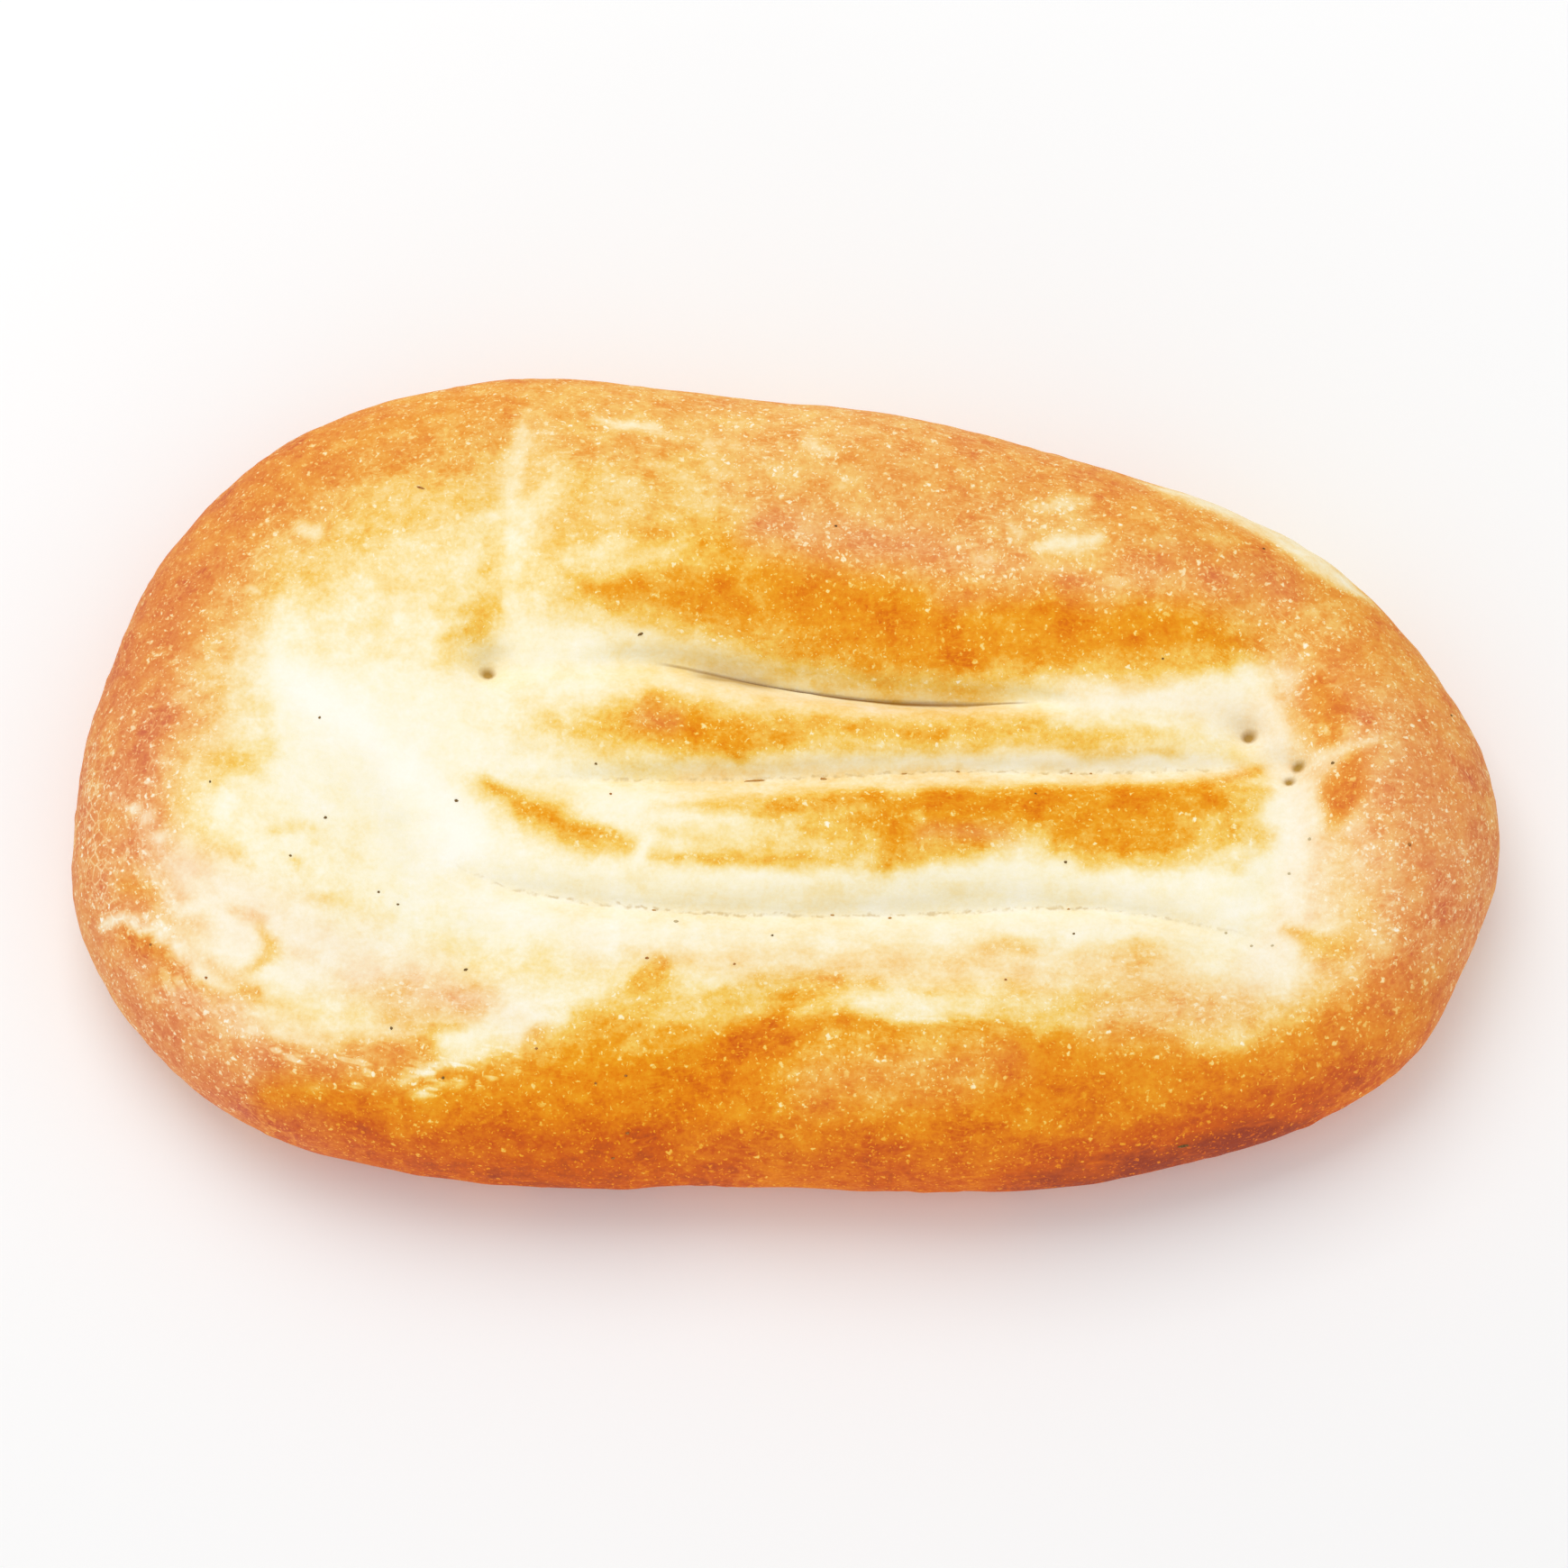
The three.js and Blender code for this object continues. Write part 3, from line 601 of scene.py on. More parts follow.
    (0.14, 0.7, 4, ((-19, -22, 1), (-8.5, -23, 1.2))),
    (0.42, 0.8, 4, ((8.5, -27.5, 1.2), (17, -30, 1.4))),
    (0.59, 1.0, 4, ((20, -17, 5), (30, -17.5, 7), (39, -17, 6.6), (54, -15, 5), (69, -15, 5.6),
                    (84, -14, 5), (93, -13, 3.2), (99, -13, 1.4))),
    (0.65, 0.8, 4, ((24, -16, 1.6), (32, -13.5, 2), (42, -15, 2.2), (54, -14.5, 1.6), (65, -13, 2),
                    (78, -13, 2))),
    (0.63, 0.8, 4, ((24, -22, 4), (22, -27, 3.2), (20, -30, 2))),
    (0.58, 0.8, 5, ((26, -26, 3.4), (38, -25, 3.4), (48, -21, 2))),
    (0.34, 0.9, 1.5, ((28, -17, 0.7), (29, -19, 0.7))),
    (0.30, 0.7, 4, ((46, -24, 1.4), (54, -21, 1.2))),
    (0.58, 0.95, 4, ((57, -22, 3.4), (68, -24, 5.4), (78, -23, 5.2), (90, -20, 3))),
    (0.44, 0.8, 4, ((62, -28, 1.4), (73, -29.5, 1.6), (84, -27, 1.6))),
    (0.52, 0.9, 2.5, ((88, -9.5, 1.6), (99, -6.5, 1.1))),
    (0.10, 0.8, 4, ((45, -31.5, 1), (56, -30.3, 1))),
    (0.21, 0.8, 3, ((-6, -33, 0.6), (10, -33.2, 1), (25, -33, 1.2), (36, -32.5, 0.6))),
    (0.42, 0.8, 4, ((84, -26, 1.4), (92, -27, 1.8))),
    (0.52, 0.8, 3, ((92, -15.5, 1.5), (98, -16.5, 1.2))),
    (0.45, 0.9, 5, ((88, -20, 3.4), (98, -22, 3.2), (103, -24, 2))),
    (0.26, 0.5, 2, ((94, -13, 0.6), (99, -13, 0.8))),
    # Right end: a pale cross crease, with brown patches beyond it.
    (0.40, 0.8, 8, ((102, 10, 4), (110, 0, 4), (112, -14, 4))),
    (0.14, 0.9, 4, ((98, 12, 1.4), (102, 4, 2), (104, -9, 1), (105, -20, 1.6), (101, -33, 2.6),
                    (94, -41, 3), (86, -46, 2.4))),
    (0.44, 0.8, 6, ((104, 19, 2.4), (110, 15, 2.6))),
    (0.66, 0.95, 4, ((110, 11.5, 2.8), (111.5, 5, 5), (112, -3, 3))),
    (0.72, 0.95, 3, ((117.5, -8, 2.4), (116.5, -13, 4.6), (113.5, -20, 2.6))),
    (0.10, 0.9, 4, ((100, -18, 1), (103, -22, 2.2), (101, -29, 2.5))),
    (0.08, 0.8, 5, ((72, -36, 1.5), (86, -37, 3), (96, -36, 2.5))),
    (0.22, 0.7, 4, ((96, -40, 1), (101, -40, 1.6))),
    (0.44, 0.7, 5, ((107, -4, 2), (111, -9, 2.5))),
    (0.28, 0.9, 2, ((105, -9, 0.8), (110, -7, 0.9), (117, -5.8, 1), (123, -2.2, 0.6))),
    (0.46, 0.7, 6, ((122, 7, 2.5), (125, -1, 2.5), (125, -10, 2))),
    (0.42, 0.8, 7, ((113, -24, 4), (114, -36, 4))),
    (0.18, 0.8, 7, ((104, -49, 3), (96, -51, 4.4), (86, -50, 3))),
    (0.42, 0.7, 9, ((122, -30, 3), (122, -42, 4), (112, -54, 4))),
    (0.36, 0.7, 5, ((108, -58, 2), (115, -54, 2.5), (123, -46, 2.5))),
    (0.73, 0.85, 6, ((104, -65, 2), (115.7, -60.4, 3), (127, -51, 2.5))),
    (0.74, 0.7, 4, ((140, -36, -3), (139, -47, 1.2), (132, -60, 1.2), (122, -70, -3))),
    (0.38, 0.8, 6, ((109, -31, 1.5), (109.5, -38, 2.6))),
    (0.54, 0.9, 3, ((103, -43, 0.8), (108.4, -46.8, 2.2), (113.2, -47.4, 1.6))),
    # Pale strip on the back edge, right.
    (0.17, 0.85, 4, ((72, 62, -2), (83.5, 57.5, 2.4), (92, 53.5, 4), (105, 47, 5), (118, 38, 4),
                     (127, 31, -1))),
)

BLOOMS = (  # a dull, pinkish bloom instead of an amber shine: amount, strength, feather, path
    (0.20, 0.9, 14, ((-48, 44, 6), (-30, 46, 8), (-22, 56, 6))),
    (0.10, 0.9, 14, ((-100, 30, 4), (-80, 36, 8), (-66, 46, 6))),
    (0.80, 0.8, 10, ((-4, 42, 4), (20, 40, 5), (45, 35, 4), (64, 32, 3), (86, 34, 4), (104, 33, 4))),
    (0.04, 0.95, 8, ((-48, 30, 2), (-21, 29, 6), (-2, 26, 7.5), (19, 20.5, 8), (41, 18, 7),
                     (73, 19, 5), (90, 19, 3))),
    (0.55, 0.8, 5, ((-30, 5, 1.8), (-24, 4, 1.8))),
    (0.95, 0.9, 12, ((-126, -30, 6), (-108, -42, 9), (-88, -50, 8), (-70, -57, 6), (-52, -63, 3))),
    (0.02, 0.95, 8, ((-104, -76, 3), (-84, -80, 6), (-60, -82, 7), (-30, -80, 7))),
    (0.50, 0.8, 8, ((-40, -46, 4), (0, -48, 5), (40, -50, 6), (80, -51, 6))),
    (0.20, 0.9, 8, ((-72, -26, 2), (-57, -35, 4), (-25, -40, 5), (10, -41, 5), (62, -39.5, 5),
                    (95, -43, 6))),
    (0.40, 0.9, 4, ((-20, -8, 1.5), (20, -7, 2), (60, -6, 2), (95, -6, 2))),
    (0.60, 0.8, 6, ((60, 10, 2), (80, 9, 3), (98, 6, 4))),
    (0.90, 0.9, 8, ((100, 5, 3), (107, -9, 4), (107, -23, 5), (106, -38, 6), (100, -50, 5))),
    (0.65, 0.8, 12, ((66, -62, 4), (85, -60, 6), (108, -50, 6))),
    (0.85, 0.8, 10, ((104, 14, 4), (112, 2, 5), (116, -14, 5), (118, -30, 5))),
    (0.60, 0.7, 5, ((30, -22, 1.6), (46, -22, 1.8))),
    (0.25, 0.8, 4, ((111, 11.5, 2), (113, 5, 4), (113, -3, 2.5))),
    (0.30, 0.8, 4, ((117.5, -8, 2), (116.5, -13, 4), (113.5, -20, 2))),
    (0.15, 0.85, 4, ((103, -43, 1), (108.4, -46.8, 2.4), (113.2, -47.4, 2))),
    (0.35, 0.8, 3, ((-135, -32.5, 1.4), (-129.5, -34.5, 1.6))),
    (0.30, 0.8, 3, ((-136, -42, 1.5), (-132, -44, 2.8), (-125, -49, 1.8))),
    (0.40, 0.8, 3, ((-129, -51.5, 1.2), (-118, -53.5, 1.5), (-108, -56, 1.2))),
    (0.15, 0.9, 4, ((-108, -42.5, 1), (-105.5, -46, 2.2), (-106, -48.5, 2.2), (-108, -51, 1))),
    (0.60, 0.7, 6, ((32, 28.5, 1.5), (51, 29, 1.5))),
    (0.40, 0.7, 8, ((6, -76, 4), (28, -75, 5), (46, -72, 3))),
    (0.05, 0.8, 6, ((-20, -86, 2), (-6, -86, 2.4), (4, -88, 2))),
)

TEARS = (  # where the skin tore into pale streaks along the rim: amount, strength, feather, path
    (1.0, 0.9, 8, ((-118, -62, 2), (-104, -68, 3), (-88, -73, 4), (-70, -75, 4), (-56, -73, 3))),
    (0.4, 0.9, 6, ((10, -62, 1), (24, -63, 2), (44, -65, 2))),
    (0.7, 0.9, 8, ((-139, -14, 3), (-134, -30, 5), (-128, -46, 5), (-118, -58, 3))),
)
CRACKLE = ((-144, 0, 2), (-145, -14, 3.5), (-143, -28, 3.5), (-138, -38, 2.5))  # fine cracks in the rim
CRACKLE_FEATHER = 7
LEAST_FEATHER = 1.0
RAGGED_X = ((1.4, 13.0, 17.0), (0.9, 4.5, 23.0))  # reach, size and shift of the noise that frays strokes
RAGGED_Y = ((1.4, 13.0, 37.0), (0.9, 4.5, 43.0))
RIM_WANDER = (4.0, 11.0, 51.0)  # and of the noise along the rim band's edge
GRAIN_RADIUS = 35.0  # tears and fibres run along the rim as if it were a circle of this radius
# Darker and duller low on the rim's front side: partly its browner baked bottom, partly painted shade where
# it turns down.
FRONT_SIDE = {"y": (-40, -86), "inset": (10, 0), "darker_low_down": 0.13, "duller": 0.1}  # of the rim, low down
# Painted shade: darker low on the rim's back side.
BACK_SIDE = {"y": (40, 70), "inset": (9, 0), "darker_low_down": 0.06}
BASE_STARTS = (0.6, 1.0)  # shares of the turn under the loaf
BASE_LEVEL = 0.56
BASE_MOTTLE = (0.12, 15.0, 8.0)
BASE_BLOOM = 0.7

ragged_x = sum((raised(dough_noise, skin, row) for row in RAGGED_X), skin[:, 0])
ragged_y = sum((raised(dough_noise, skin, row) for row in RAGGED_Y), skin[:, 1])


def brush(path, feather):
    """How much of a stroke lands on the crust in plan: 1 inside a band along its path, whose half width
    is each point's third number, and fading to 0 across the feather at its edge."""
    nearest = np.full(len(skin), np.inf)
    for (x0, y0, width0), (x1, y1, width1) in zip(path[:-1], path[1:]):
        run_x, run_y = x1 - x0, y1 - y0
        t = np.clip(((ragged_x - x0) * run_x + (ragged_y - y0) * run_y) / (run_x**2 + run_y**2), 0, 1)
        half_width = width0 + t * (width1 - width0)
        gap = np.hypot(ragged_x - x0 - t * run_x, ragged_y - y0 - t * run_y) - half_width
        nearest = np.minimum(nearest, gap)
    fade = (feather + LEAST_FEATHER) / 2
    return ease(fade, -fade, nearest)


def paint(level, strokes):
    """Lays strokes over a level: each in turn moves it towards the stroke's own by its strength, as much
    as the brush lands."""
    for stroke_level, strength, feather, path in strokes:
        level = level + (stroke_level - level) * strength * brush(path, feather)
    return level


rim_level, rim_fade, rim_end, rim_bloom = round_the_loaf(skin_angle, RIM).T
inset = (1 - skin_reach) * tangent_distance(skin_angle)
rim_left = rim_end - inset - raised(dough_noise, skin, RIM_WANDER)
rim_share = ease(0, rim_end - rim_fade, rim_left)
front_facing = ease(*FRONT_SIDE["y"], skin[:, 1]) * ease(*FRONT_SIDE["inset"], inset)
back_facing = ease(*BACK_SIDE["y"], skin[:, 1]) * ease(*BACK_SIDE["inset"], inset)
on_base = ease(*BASE_STARTS, skin_under)

baked = paint(PALE_LEVEL + (rim_level - PALE_LEVEL) * rim_share, STROKES)
# Darker low on the front side, partly baking and partly painted shade, and on the back side, painted shade.
baked = baked + FRONT_SIDE["darker_low_down"] * front_facing + BACK_SIDE["darker_low_down"] * back_facing
base_level = BASE_LEVEL + raised(dough_noise, skin, BASE_MOTTLE)
bloom = paint(rim_bloom * rim_share, BLOOMS) + FRONT_SIDE["duller"] * front_facing
kept_on_mesh = {
    "baked": np.clip(baked + (base_level - baked) * on_base, 0, 1),
    "bloom": np.clip(bloom + (BASE_BLOOM - bloom) * on_base, 0, 1),
    "torn": paint(np.zeros(len(skin)), TEARS),
    "crackled": brush(CRACKLE, CRACKLE_FEATHER) * (1 - on_base),
    "pit_mark": pit_mark,
    "slit_offset": slit_offset,
    "slit_open": slit_open,
    "slit_gape": slit_gape,
    "slit_shade": slit_shade,
    "seam_offset": seam_offset,
    "seam_shut": seam_shut,
}
for name, values in kept_on_mesh.items():
    attribute = loaf_mesh.attributes.new(name, "FLOAT", "POINT")
    attribute.data.foreach_set("value", np.asarray(values, np.float32))
rim_place = np.stack([GRAIN_RADIUS * np.cos(skin_angle), GRAIN_RADIUS * np.sin(skin_angle), inset], axis=1)
rim_attribute = loaf_mesh.attributes.new("rim_place", "FLOAT_VECTOR", "POINT")
rim_attribute.data.foreach_set("vector", (rim_place * MILLIMETRE).astype(np.float32).ravel())


# The crust's finish: matt baked dough. Its colour runs from cream through gold to reddish brown with
# the browning, broken up by mottling, pale blisters and a light bloom on the rim. The scales of its
# patterns are in cells for each metre.

AMBER_TONES = (
    (0.00, (254, 251, 238)), (0.15, (252, 243, 210)), (0.30, (249, 226, 160)), (0.45, (244, 200, 92)),
    (0.60, (237, 160, 30)), (0.72, (229, 132, 14)), (0.85, (206, 92, 14)), (1.00, (150, 62, 34)),
)
BLOOM_TONES = (
    (0.00, (253, 249, 236)), (0.20, (249, 231, 198)), (0.35, (246, 210, 166)), (0.45, (242, 191, 136)),
    (0.60, (233, 158, 100)), (0.72, (222, 132, 80)), (0.85, (203, 102, 72)), (1.00, (160, 75, 62)),
)
# Painted shade: the warm dark line drawn in the narrow slit under the lip.
SLIT_SHADOW_TONE = (150, 100, 26)
SHADE_TONE = (206, 176, 114)
# Painted shade: the fine, broken line along the shut seams.
SEAM_SHADOW_TONE = (212, 180, 118)
# Painted shade: the darker tone in the pits.
PIT_SHADOW_TONE = (176, 134, 40)

NOISE_ROUGHNESS = 0.6
MOTTLE = (95.0, 4.0)  # the scale and the detail of each noise
FLOUR_CLOUDS = (150.0, 4.0)
FLECKS = (300.0, 3.0)
STREAKS = (320.0, 3.0)
FIBRES = (420.0, 2.0)
SEAM_BREAKS = (480.0, 2.0)
FINE_RELIEF = (520.0, 3.0)
GRAIN = (1100.0, 2.0)
STREAK_STRETCH = (0.3, 1.0, 1.0)
MOTTLE_AMOUNT = 0.7  # how much of each noise there is in the mottling
FLECK_AMOUNT = 0.4
STREAK_AMOUNT = 0.22
GRAIN_AMOUNT = 0.3
GOLD_LIVELINESS = 2.5  # of the mottling, between cream and brown
LEAST_LIVELINESS = 0.17
CRUSTY = (0.26, 0.5)  # levels between which bare dough becomes crust
CRUST_BROWNER = 0.02

FLOUR_SPOTS = (230.0, 0.26)  # the scale and the largest radius, in cells, of each kind of dot
PEARLS = (620.0, 0.42)
FLOUR_GRAINS = (1250.0, 0.5)
DOT_SIZE_POWER = 0.6
DOT_LEAST_RADIUS = 0.001
DOT_CORE = 0.5
DOT_FAINTEST = 0.35
DOT_WOBBLE_SCALE = 800.0
DOT_WOBBLE = (0.0022, 0.0022, 0.0022)
DOTTED_SHARE = 0.3  # of the cells on amber crust
DOTTED_BY_BLOOM = 0.55  # and what a full bloom adds to it
FLOUR_SPOT_SHARE = 0.2
FLOUR_GRAIN_SHARE = 0.2
FLOUR_GRAIN_STRENGTH = 0.75
FLOUR_SPOTS_BY_BLOOM = (0.0, 0.6, 0.35, 1.0)  # a range of bloom, and the strengths at its ends
DOTS_PALER = 0.33
DOTS_PALER_BY_BLOOM = 0.12
CLOUDS_PALER = (0.05, 0.2, 0.0, 0.16)  # a range of the noise, and how much paler the crust is at its ends
WISPS_PALER = (0.1, 0.2, 0.0, 0.2)
FIBRES_PALER = (0.0, 0.04, 0.22, 0.0)
FIBRES_WHERE = (-0.05, 0.12, 0.0, 1.0)  # a range of the mottle, and how much of the fibres shows there
TEARS_PALER = (0.05, 0.13, 0.0, 0.3)
CRACK_SCALE = 340.0
CRACK_WIDTH = 0.1
CRACKS_PALER = 0.24
BLOOM_MOTTLE = 1.2

# Painted shade in the slit: its line's width and strength, wider and stronger where it gapes.
SLIT_LINE_HALF_WIDTH = 0.4
SLIT_LINE_BY_GAPE = 0.7
SLIT_SHADOW_STRENGTH = 0.45
SLIT_STRENGTH_BY_GAPE = 0.5
LINE_CORE = 0.1
# Painted shade along the shut seams: its line's width, strength and breaks.
SEAM_LINE_HALF_WIDTH = 0.5
SEAM_SHADOW_STRENGTH = 0.6
SEAM_WANDER = 2.5
SEAM_SHOWS = (-0.06, 0.1, 0.0, 1.0)  # a range of the noise that breaks the line, and how much shows there
# Painted shade in the pits, stronger where they are deeper.
PIT_SHADOW_SHOWS = (0.25, 0.8, 0.0, 0.9)  # a range of the pit's depth, and the strength of its tone there
CRUST_ROUGHNESS = (-0.2, 0.2, 0.5, 0.66)  # a range of the grain, and the roughness at its ends
CRUST_SPECULAR = 0.05
BUMP_STRENGTH = 0.25
BUMP_HEIGHT = 0.0006


def linear_colour(tone):
    """A colour of 0 to 255 as displayed, as the linear colour that a shader takes."""
    share = np.array(tone) / 255
    light = np.where(share <= 0.04045, share / 12.92, ((share + 0.055) / 1.055) ** 2.4)
    return (*light.tolist(), 1.0)


# The grain of baked dough, for the crust and for what is baked on to it: noise of a scale about 0, at
# most half either way.
baked_grain = bpy.data.node_groups.new("baked_grain", "ShaderNodeTree")
baked_grain.interface.new_socket("Place", in_out="INPUT", socket_type="NodeSocketVector")
baked_grain.interface.new_socket("Scale", in_out="INPUT", socket_type="NodeSocketFloat")
baked_grain.interface.new_socket("Detail", in_out="INPUT", socket_type="NodeSocketFloat")
baked_grain.interface.new_socket("Grain", in_out="OUTPUT", socket_type="NodeSocketFloat")
grain_in = baked_grain.nodes.new("NodeGroupInput")
grain_noise = baked_grain.nodes.new("ShaderNodeTexNoise")
grain_noise.inputs["Roughness"].default_value = NOISE_ROUGHNESS
grain_about_0 = baked_grain.nodes.new("ShaderNodeMath")
grain_about_0.operation = "SUBTRACT"
grain_about_0.inputs[1].default_value = 0.5
grain_out = baked_grain.nodes.new("NodeGroupOutput")
for given, taken in (("Place", "Vector"), ("Scale", "Scale"), ("Detail", "Detail")):
    baked_grain.links.new(grain_in.outputs[given], grain_noise.inputs[taken])
baked_grain.links.new(grain_noise.outputs["Fac"], grain_about_0.inputs[0])
baked_grain.links.new(grain_about_0.outputs[0], grain_out.inputs["Grain"])

crust = bpy.data.materials.new("baked_crust")
crust.use_nodes = True
nodes, links = crust.node_tree.nodes, crust.node_tree.links
nodes.clear()


def connect(value, socket):
    """Feeds a socket from another socket, or sets it to a value."""
    if isinstance(value, bpy.types.NodeSocket):
        links.new(value, socket)
    else:
        socket.default_value = value


def sum_up(operation, *values):
    """A math node of one operation on up to three values."""
    made = nodes.new("ShaderNodeMath")
    made.operation = operation
    for value, socket in zip(values, made.inputs):
        connect(value, socket)
    return made.outputs[0]


def spread(value, low, high, new_low, new_high):
    """Maps a value from one range to another, held at the ends."""
    made = nodes.new("ShaderNodeMapRange")
    for given, socket in zip((value, low, high, new_low, new_high), made.inputs):
        connect(given, socket)
    return made.outputs["Result"]


def stored(name):
    """The value that the mesh keeps under a name."""
    made = nodes.new("ShaderNodeAttribute")
    made.attribute_name = name
    return made.outputs["Fac"]


def speckle(place, scale, detail):
    """The baked grain of a scale and a detail, placed in the material that is being made."""
    made = nodes.new("ShaderNodeGroup")
    made.node_tree = baked_grain
    links.new(place, made.inputs["Place"])
    made.inputs["Scale"].default_value = scale
    made.inputs["Detail"].default_value = detail
    return made.outputs["Grain"]


def dots(place, scale, largest, share):
    """Round, soft dots in a random share of the cells of a scale. The sizes are random, up to a largest
    radius in cells, and so are the strengths."""
    made = nodes.new("ShaderNodeTexVoronoi")
    links.new(place, made.inputs["Vector"])
    made.inputs["Scale"].default_value = scale
    draw = nodes.new("ShaderNodeSeparateColor")
    links.new(made.outputs["Color"], draw.inputs["Color"])
    size = sum_up("POWER", spread(draw.outputs[0], 0.0, share, 1.0, 0.0), DOT_SIZE_POWER)
    radius = sum_up("MAXIMUM", sum_up("MULTIPLY", size, largest), DOT_LEAST_RADIUS)
    inside = spread(made.outputs["Distance"], sum_up("MULTIPLY", radius, DOT_CORE), radius, 1.0, 0.0)
    return sum_up("MULTIPLY", inside, spread(draw.outputs[1], 0.0, 1.0, DOT_FAINTEST, 1.0))


def cracks(place, scale, width):
    """A net of fine lines between the cells of a scale: 1 on a line, 0 a width away from it."""
    made = nodes.new("ShaderNodeTexVoronoi")
    made.feature = "DISTANCE_TO_EDGE"
    links.new(place, made.inputs["Vector"])
    made.inputs["Scale"].default_value = scale
    return spread(made.outputs["Distance"], 0.0, width, 1.0, 0.0)


def tone_ramp(level, tones):
    """Colours laid along a level."""
    made = nodes.new("ShaderNodeValToRGB")
    stops = made.color_ramp.elements
    while len(stops) < len(tones):
        stops.new(0.5)
    for stop, (position, tone) in zip(stops, tones):
        stop.position = position
        stop.color = linear_colour(tone)
    links.new(level, made.inputs["Fac"])
    return made.outputs["Color"]


def blend_tones(share, first, second):
    """Mixes two colours by a share of the second."""
    made = nodes.new("ShaderNodeMix")
    made.data_type = "RGBA"
    connect(share, made.inputs[0])
    connect(first, made.inputs[6])
    connect(second, made.inputs[7])
    return made.outputs[2]


place = nodes.new("ShaderNodeTexCoord").outputs["Object"]
stretch = nodes.new("ShaderNodeMapping")
stretch.inputs["Scale"].default_value = STREAK_STRETCH
links.new(place, stretch.inputs["Vector"])
wobble = nodes.new("ShaderNodeTexNoise")
wobble.inputs["Scale"].default_value = DOT_WOBBLE_SCALE
links.new(place, wobble.inputs["Vector"])
uneven = nodes.new("ShaderNodeVectorMath")
uneven.operation = "MULTIPLY_ADD"
uneven.inputs[1].default_value = DOT_WOBBLE
links.new(wobble.outputs["Color"], uneven.inputs[0])
links.new(place, uneven.inputs[2])
uneven_place = uneven.outputs["Vector"]
along_rim = nodes.new("ShaderNodeAttribute")
along_rim.attribute_name = "rim_place"

mottle = speckle(place, *MOTTLE)
flecks = speckle(place, *FLECKS)
streaks = speckle(stretch.outputs["Vector"], *STREAKS)
grain = speckle(place, *GRAIN)
fibre_path = speckle(along_rim.outputs["Vector"], *FIBRES)

# The level with its mottling, which is liveliest on the gold between cream and brown.
level = stored("baked")
dulled = stored("bloom")
halfway = sum_up("MULTIPLY", level, sum_up("SUBTRACT", 1.0, level))
liveliness = sum_up("MULTIPLY_ADD", halfway, GOLD_LIVELINESS, LEAST_LIVELINESS)
variation = sum_up("MULTIPLY_ADD", mottle, MOTTLE_AMOUNT, sum_up("MULTIPLY", flecks, FLECK_AMOUNT))
variation = sum_up("MULTIPLY_ADD", streaks, STREAK_AMOUNT, variation)
variation = sum_up("MULTIPLY_ADD", grain, GRAIN_AMOUNT, variation)
varied = sum_up("MULTIPLY_ADD", variation, liveliness, level)

# Dots of flour and small blisters, which are paler than the crust that they are on.
crusty = spread(level, *CRUSTY, 0.0, 1.0)
dotted_share = sum_up("MULTIPLY_ADD", dulled, DOTTED_BY_BLOOM, DOTTED_SHARE)
pearls = dots(uneven_place, *PEARLS, dotted_share)
flour_grains = dots(uneven_place, *FLOUR_GRAINS, sum_up("ADD", dotted_share, FLOUR_GRAIN_SHARE))
flour_grains = sum_up("MULTIPLY", flour_grains, FLOUR_GRAIN_STRENGTH)
flour_spots = dots(uneven_place, *FLOUR_SPOTS, FLOUR_SPOT_SHARE)
flour_spots = sum_up("MULTIPLY", flour_spots, spread(dulled, *FLOUR_SPOTS_BY_BLOOM))
paler = sum_up("MAXIMUM", pearls, sum_up("MAXIMUM", flour_grains, flour_spots))
paler = sum_up("MULTIPLY", paler, sum_up("MULTIPLY_ADD", dulled, DOTS_PALER_BY_BLOOM, DOTS_PALER))

# Clouds of flour, wisps and fibres of dough on the crust, its tears and its crackle, paler as well.
flour_clouds = spread(speckle(place, *FLOUR_CLOUDS), *CLOUDS_PALER)
wisps = spread(streaks, *WISPS_PALER)
fibres = spread(sum_up("ABSOLUTE", fibre_path), *FIBRES_PALER)
fibres = sum_up("MULTIPLY", fibres, spread(mottle, *FIBRES_WHERE))
for dusting in (flour_clouds, wisps, fibres):
    paler = sum_up("MULTIPLY_ADD", dusting, dotted_share, paler)
paler = sum_up("MULTIPLY", paler, crusty)
paler = sum_up("MULTIPLY_ADD", spread(fibre_path, *TEARS_PALER), stored("torn"), paler)
crackle_lines = sum_up("MULTIPLY", cracks(place, CRACK_SCALE, CRACK_WIDTH), CRACKS_PALER)
paler = sum_up("MULTIPLY_ADD", crackle_lines, stored("crackled"), paler)
shown_level = sum_up("SUBTRACT", sum_up("MULTIPLY_ADD", crusty, CRUST_BROWNER, varied), paler)

bloom_share = sum_up("MULTIPLY_ADD", sum_up("MULTIPLY", mottle, dulled), BLOOM_MOTTLE, dulled)
amber = tone_ramp(shown_level, AMBER_TONES)
coloured = blend_tones(bloom_share, amber, tone_ramp(shown_level, BLOOM_TONES))

# Painted shade: the dark line in the slit, the lip's shade before it, the seams' fine lines, the pits.
slit_width = sum_up("MULTIPLY_ADD", stored("slit_gape"), SLIT_LINE_BY_GAPE, SLIT_LINE_HALF_WIDTH)
slit_shadow_line = spread(sum_up("ABSOLUTE", stored("slit_offset")), LINE_CORE, slit_width, 1.0, 0.0)
slit_shadow_line = sum_up("MULTIPLY", slit_shadow_line, stored("slit_open"))
slit_strength = sum_up("MULTIPLY_ADD", stored("slit_gape"), SLIT_STRENGTH_BY_GAPE, SLIT_SHADOW_STRENGTH)
slit_shadow_line = sum_up("MULTIPLY", slit_shadow_line, slit_strength)
seam_gap = sum_up("ABSOLUTE", sum_up("MULTIPLY_ADD", flecks, SEAM_WANDER, stored("seam_offset")))
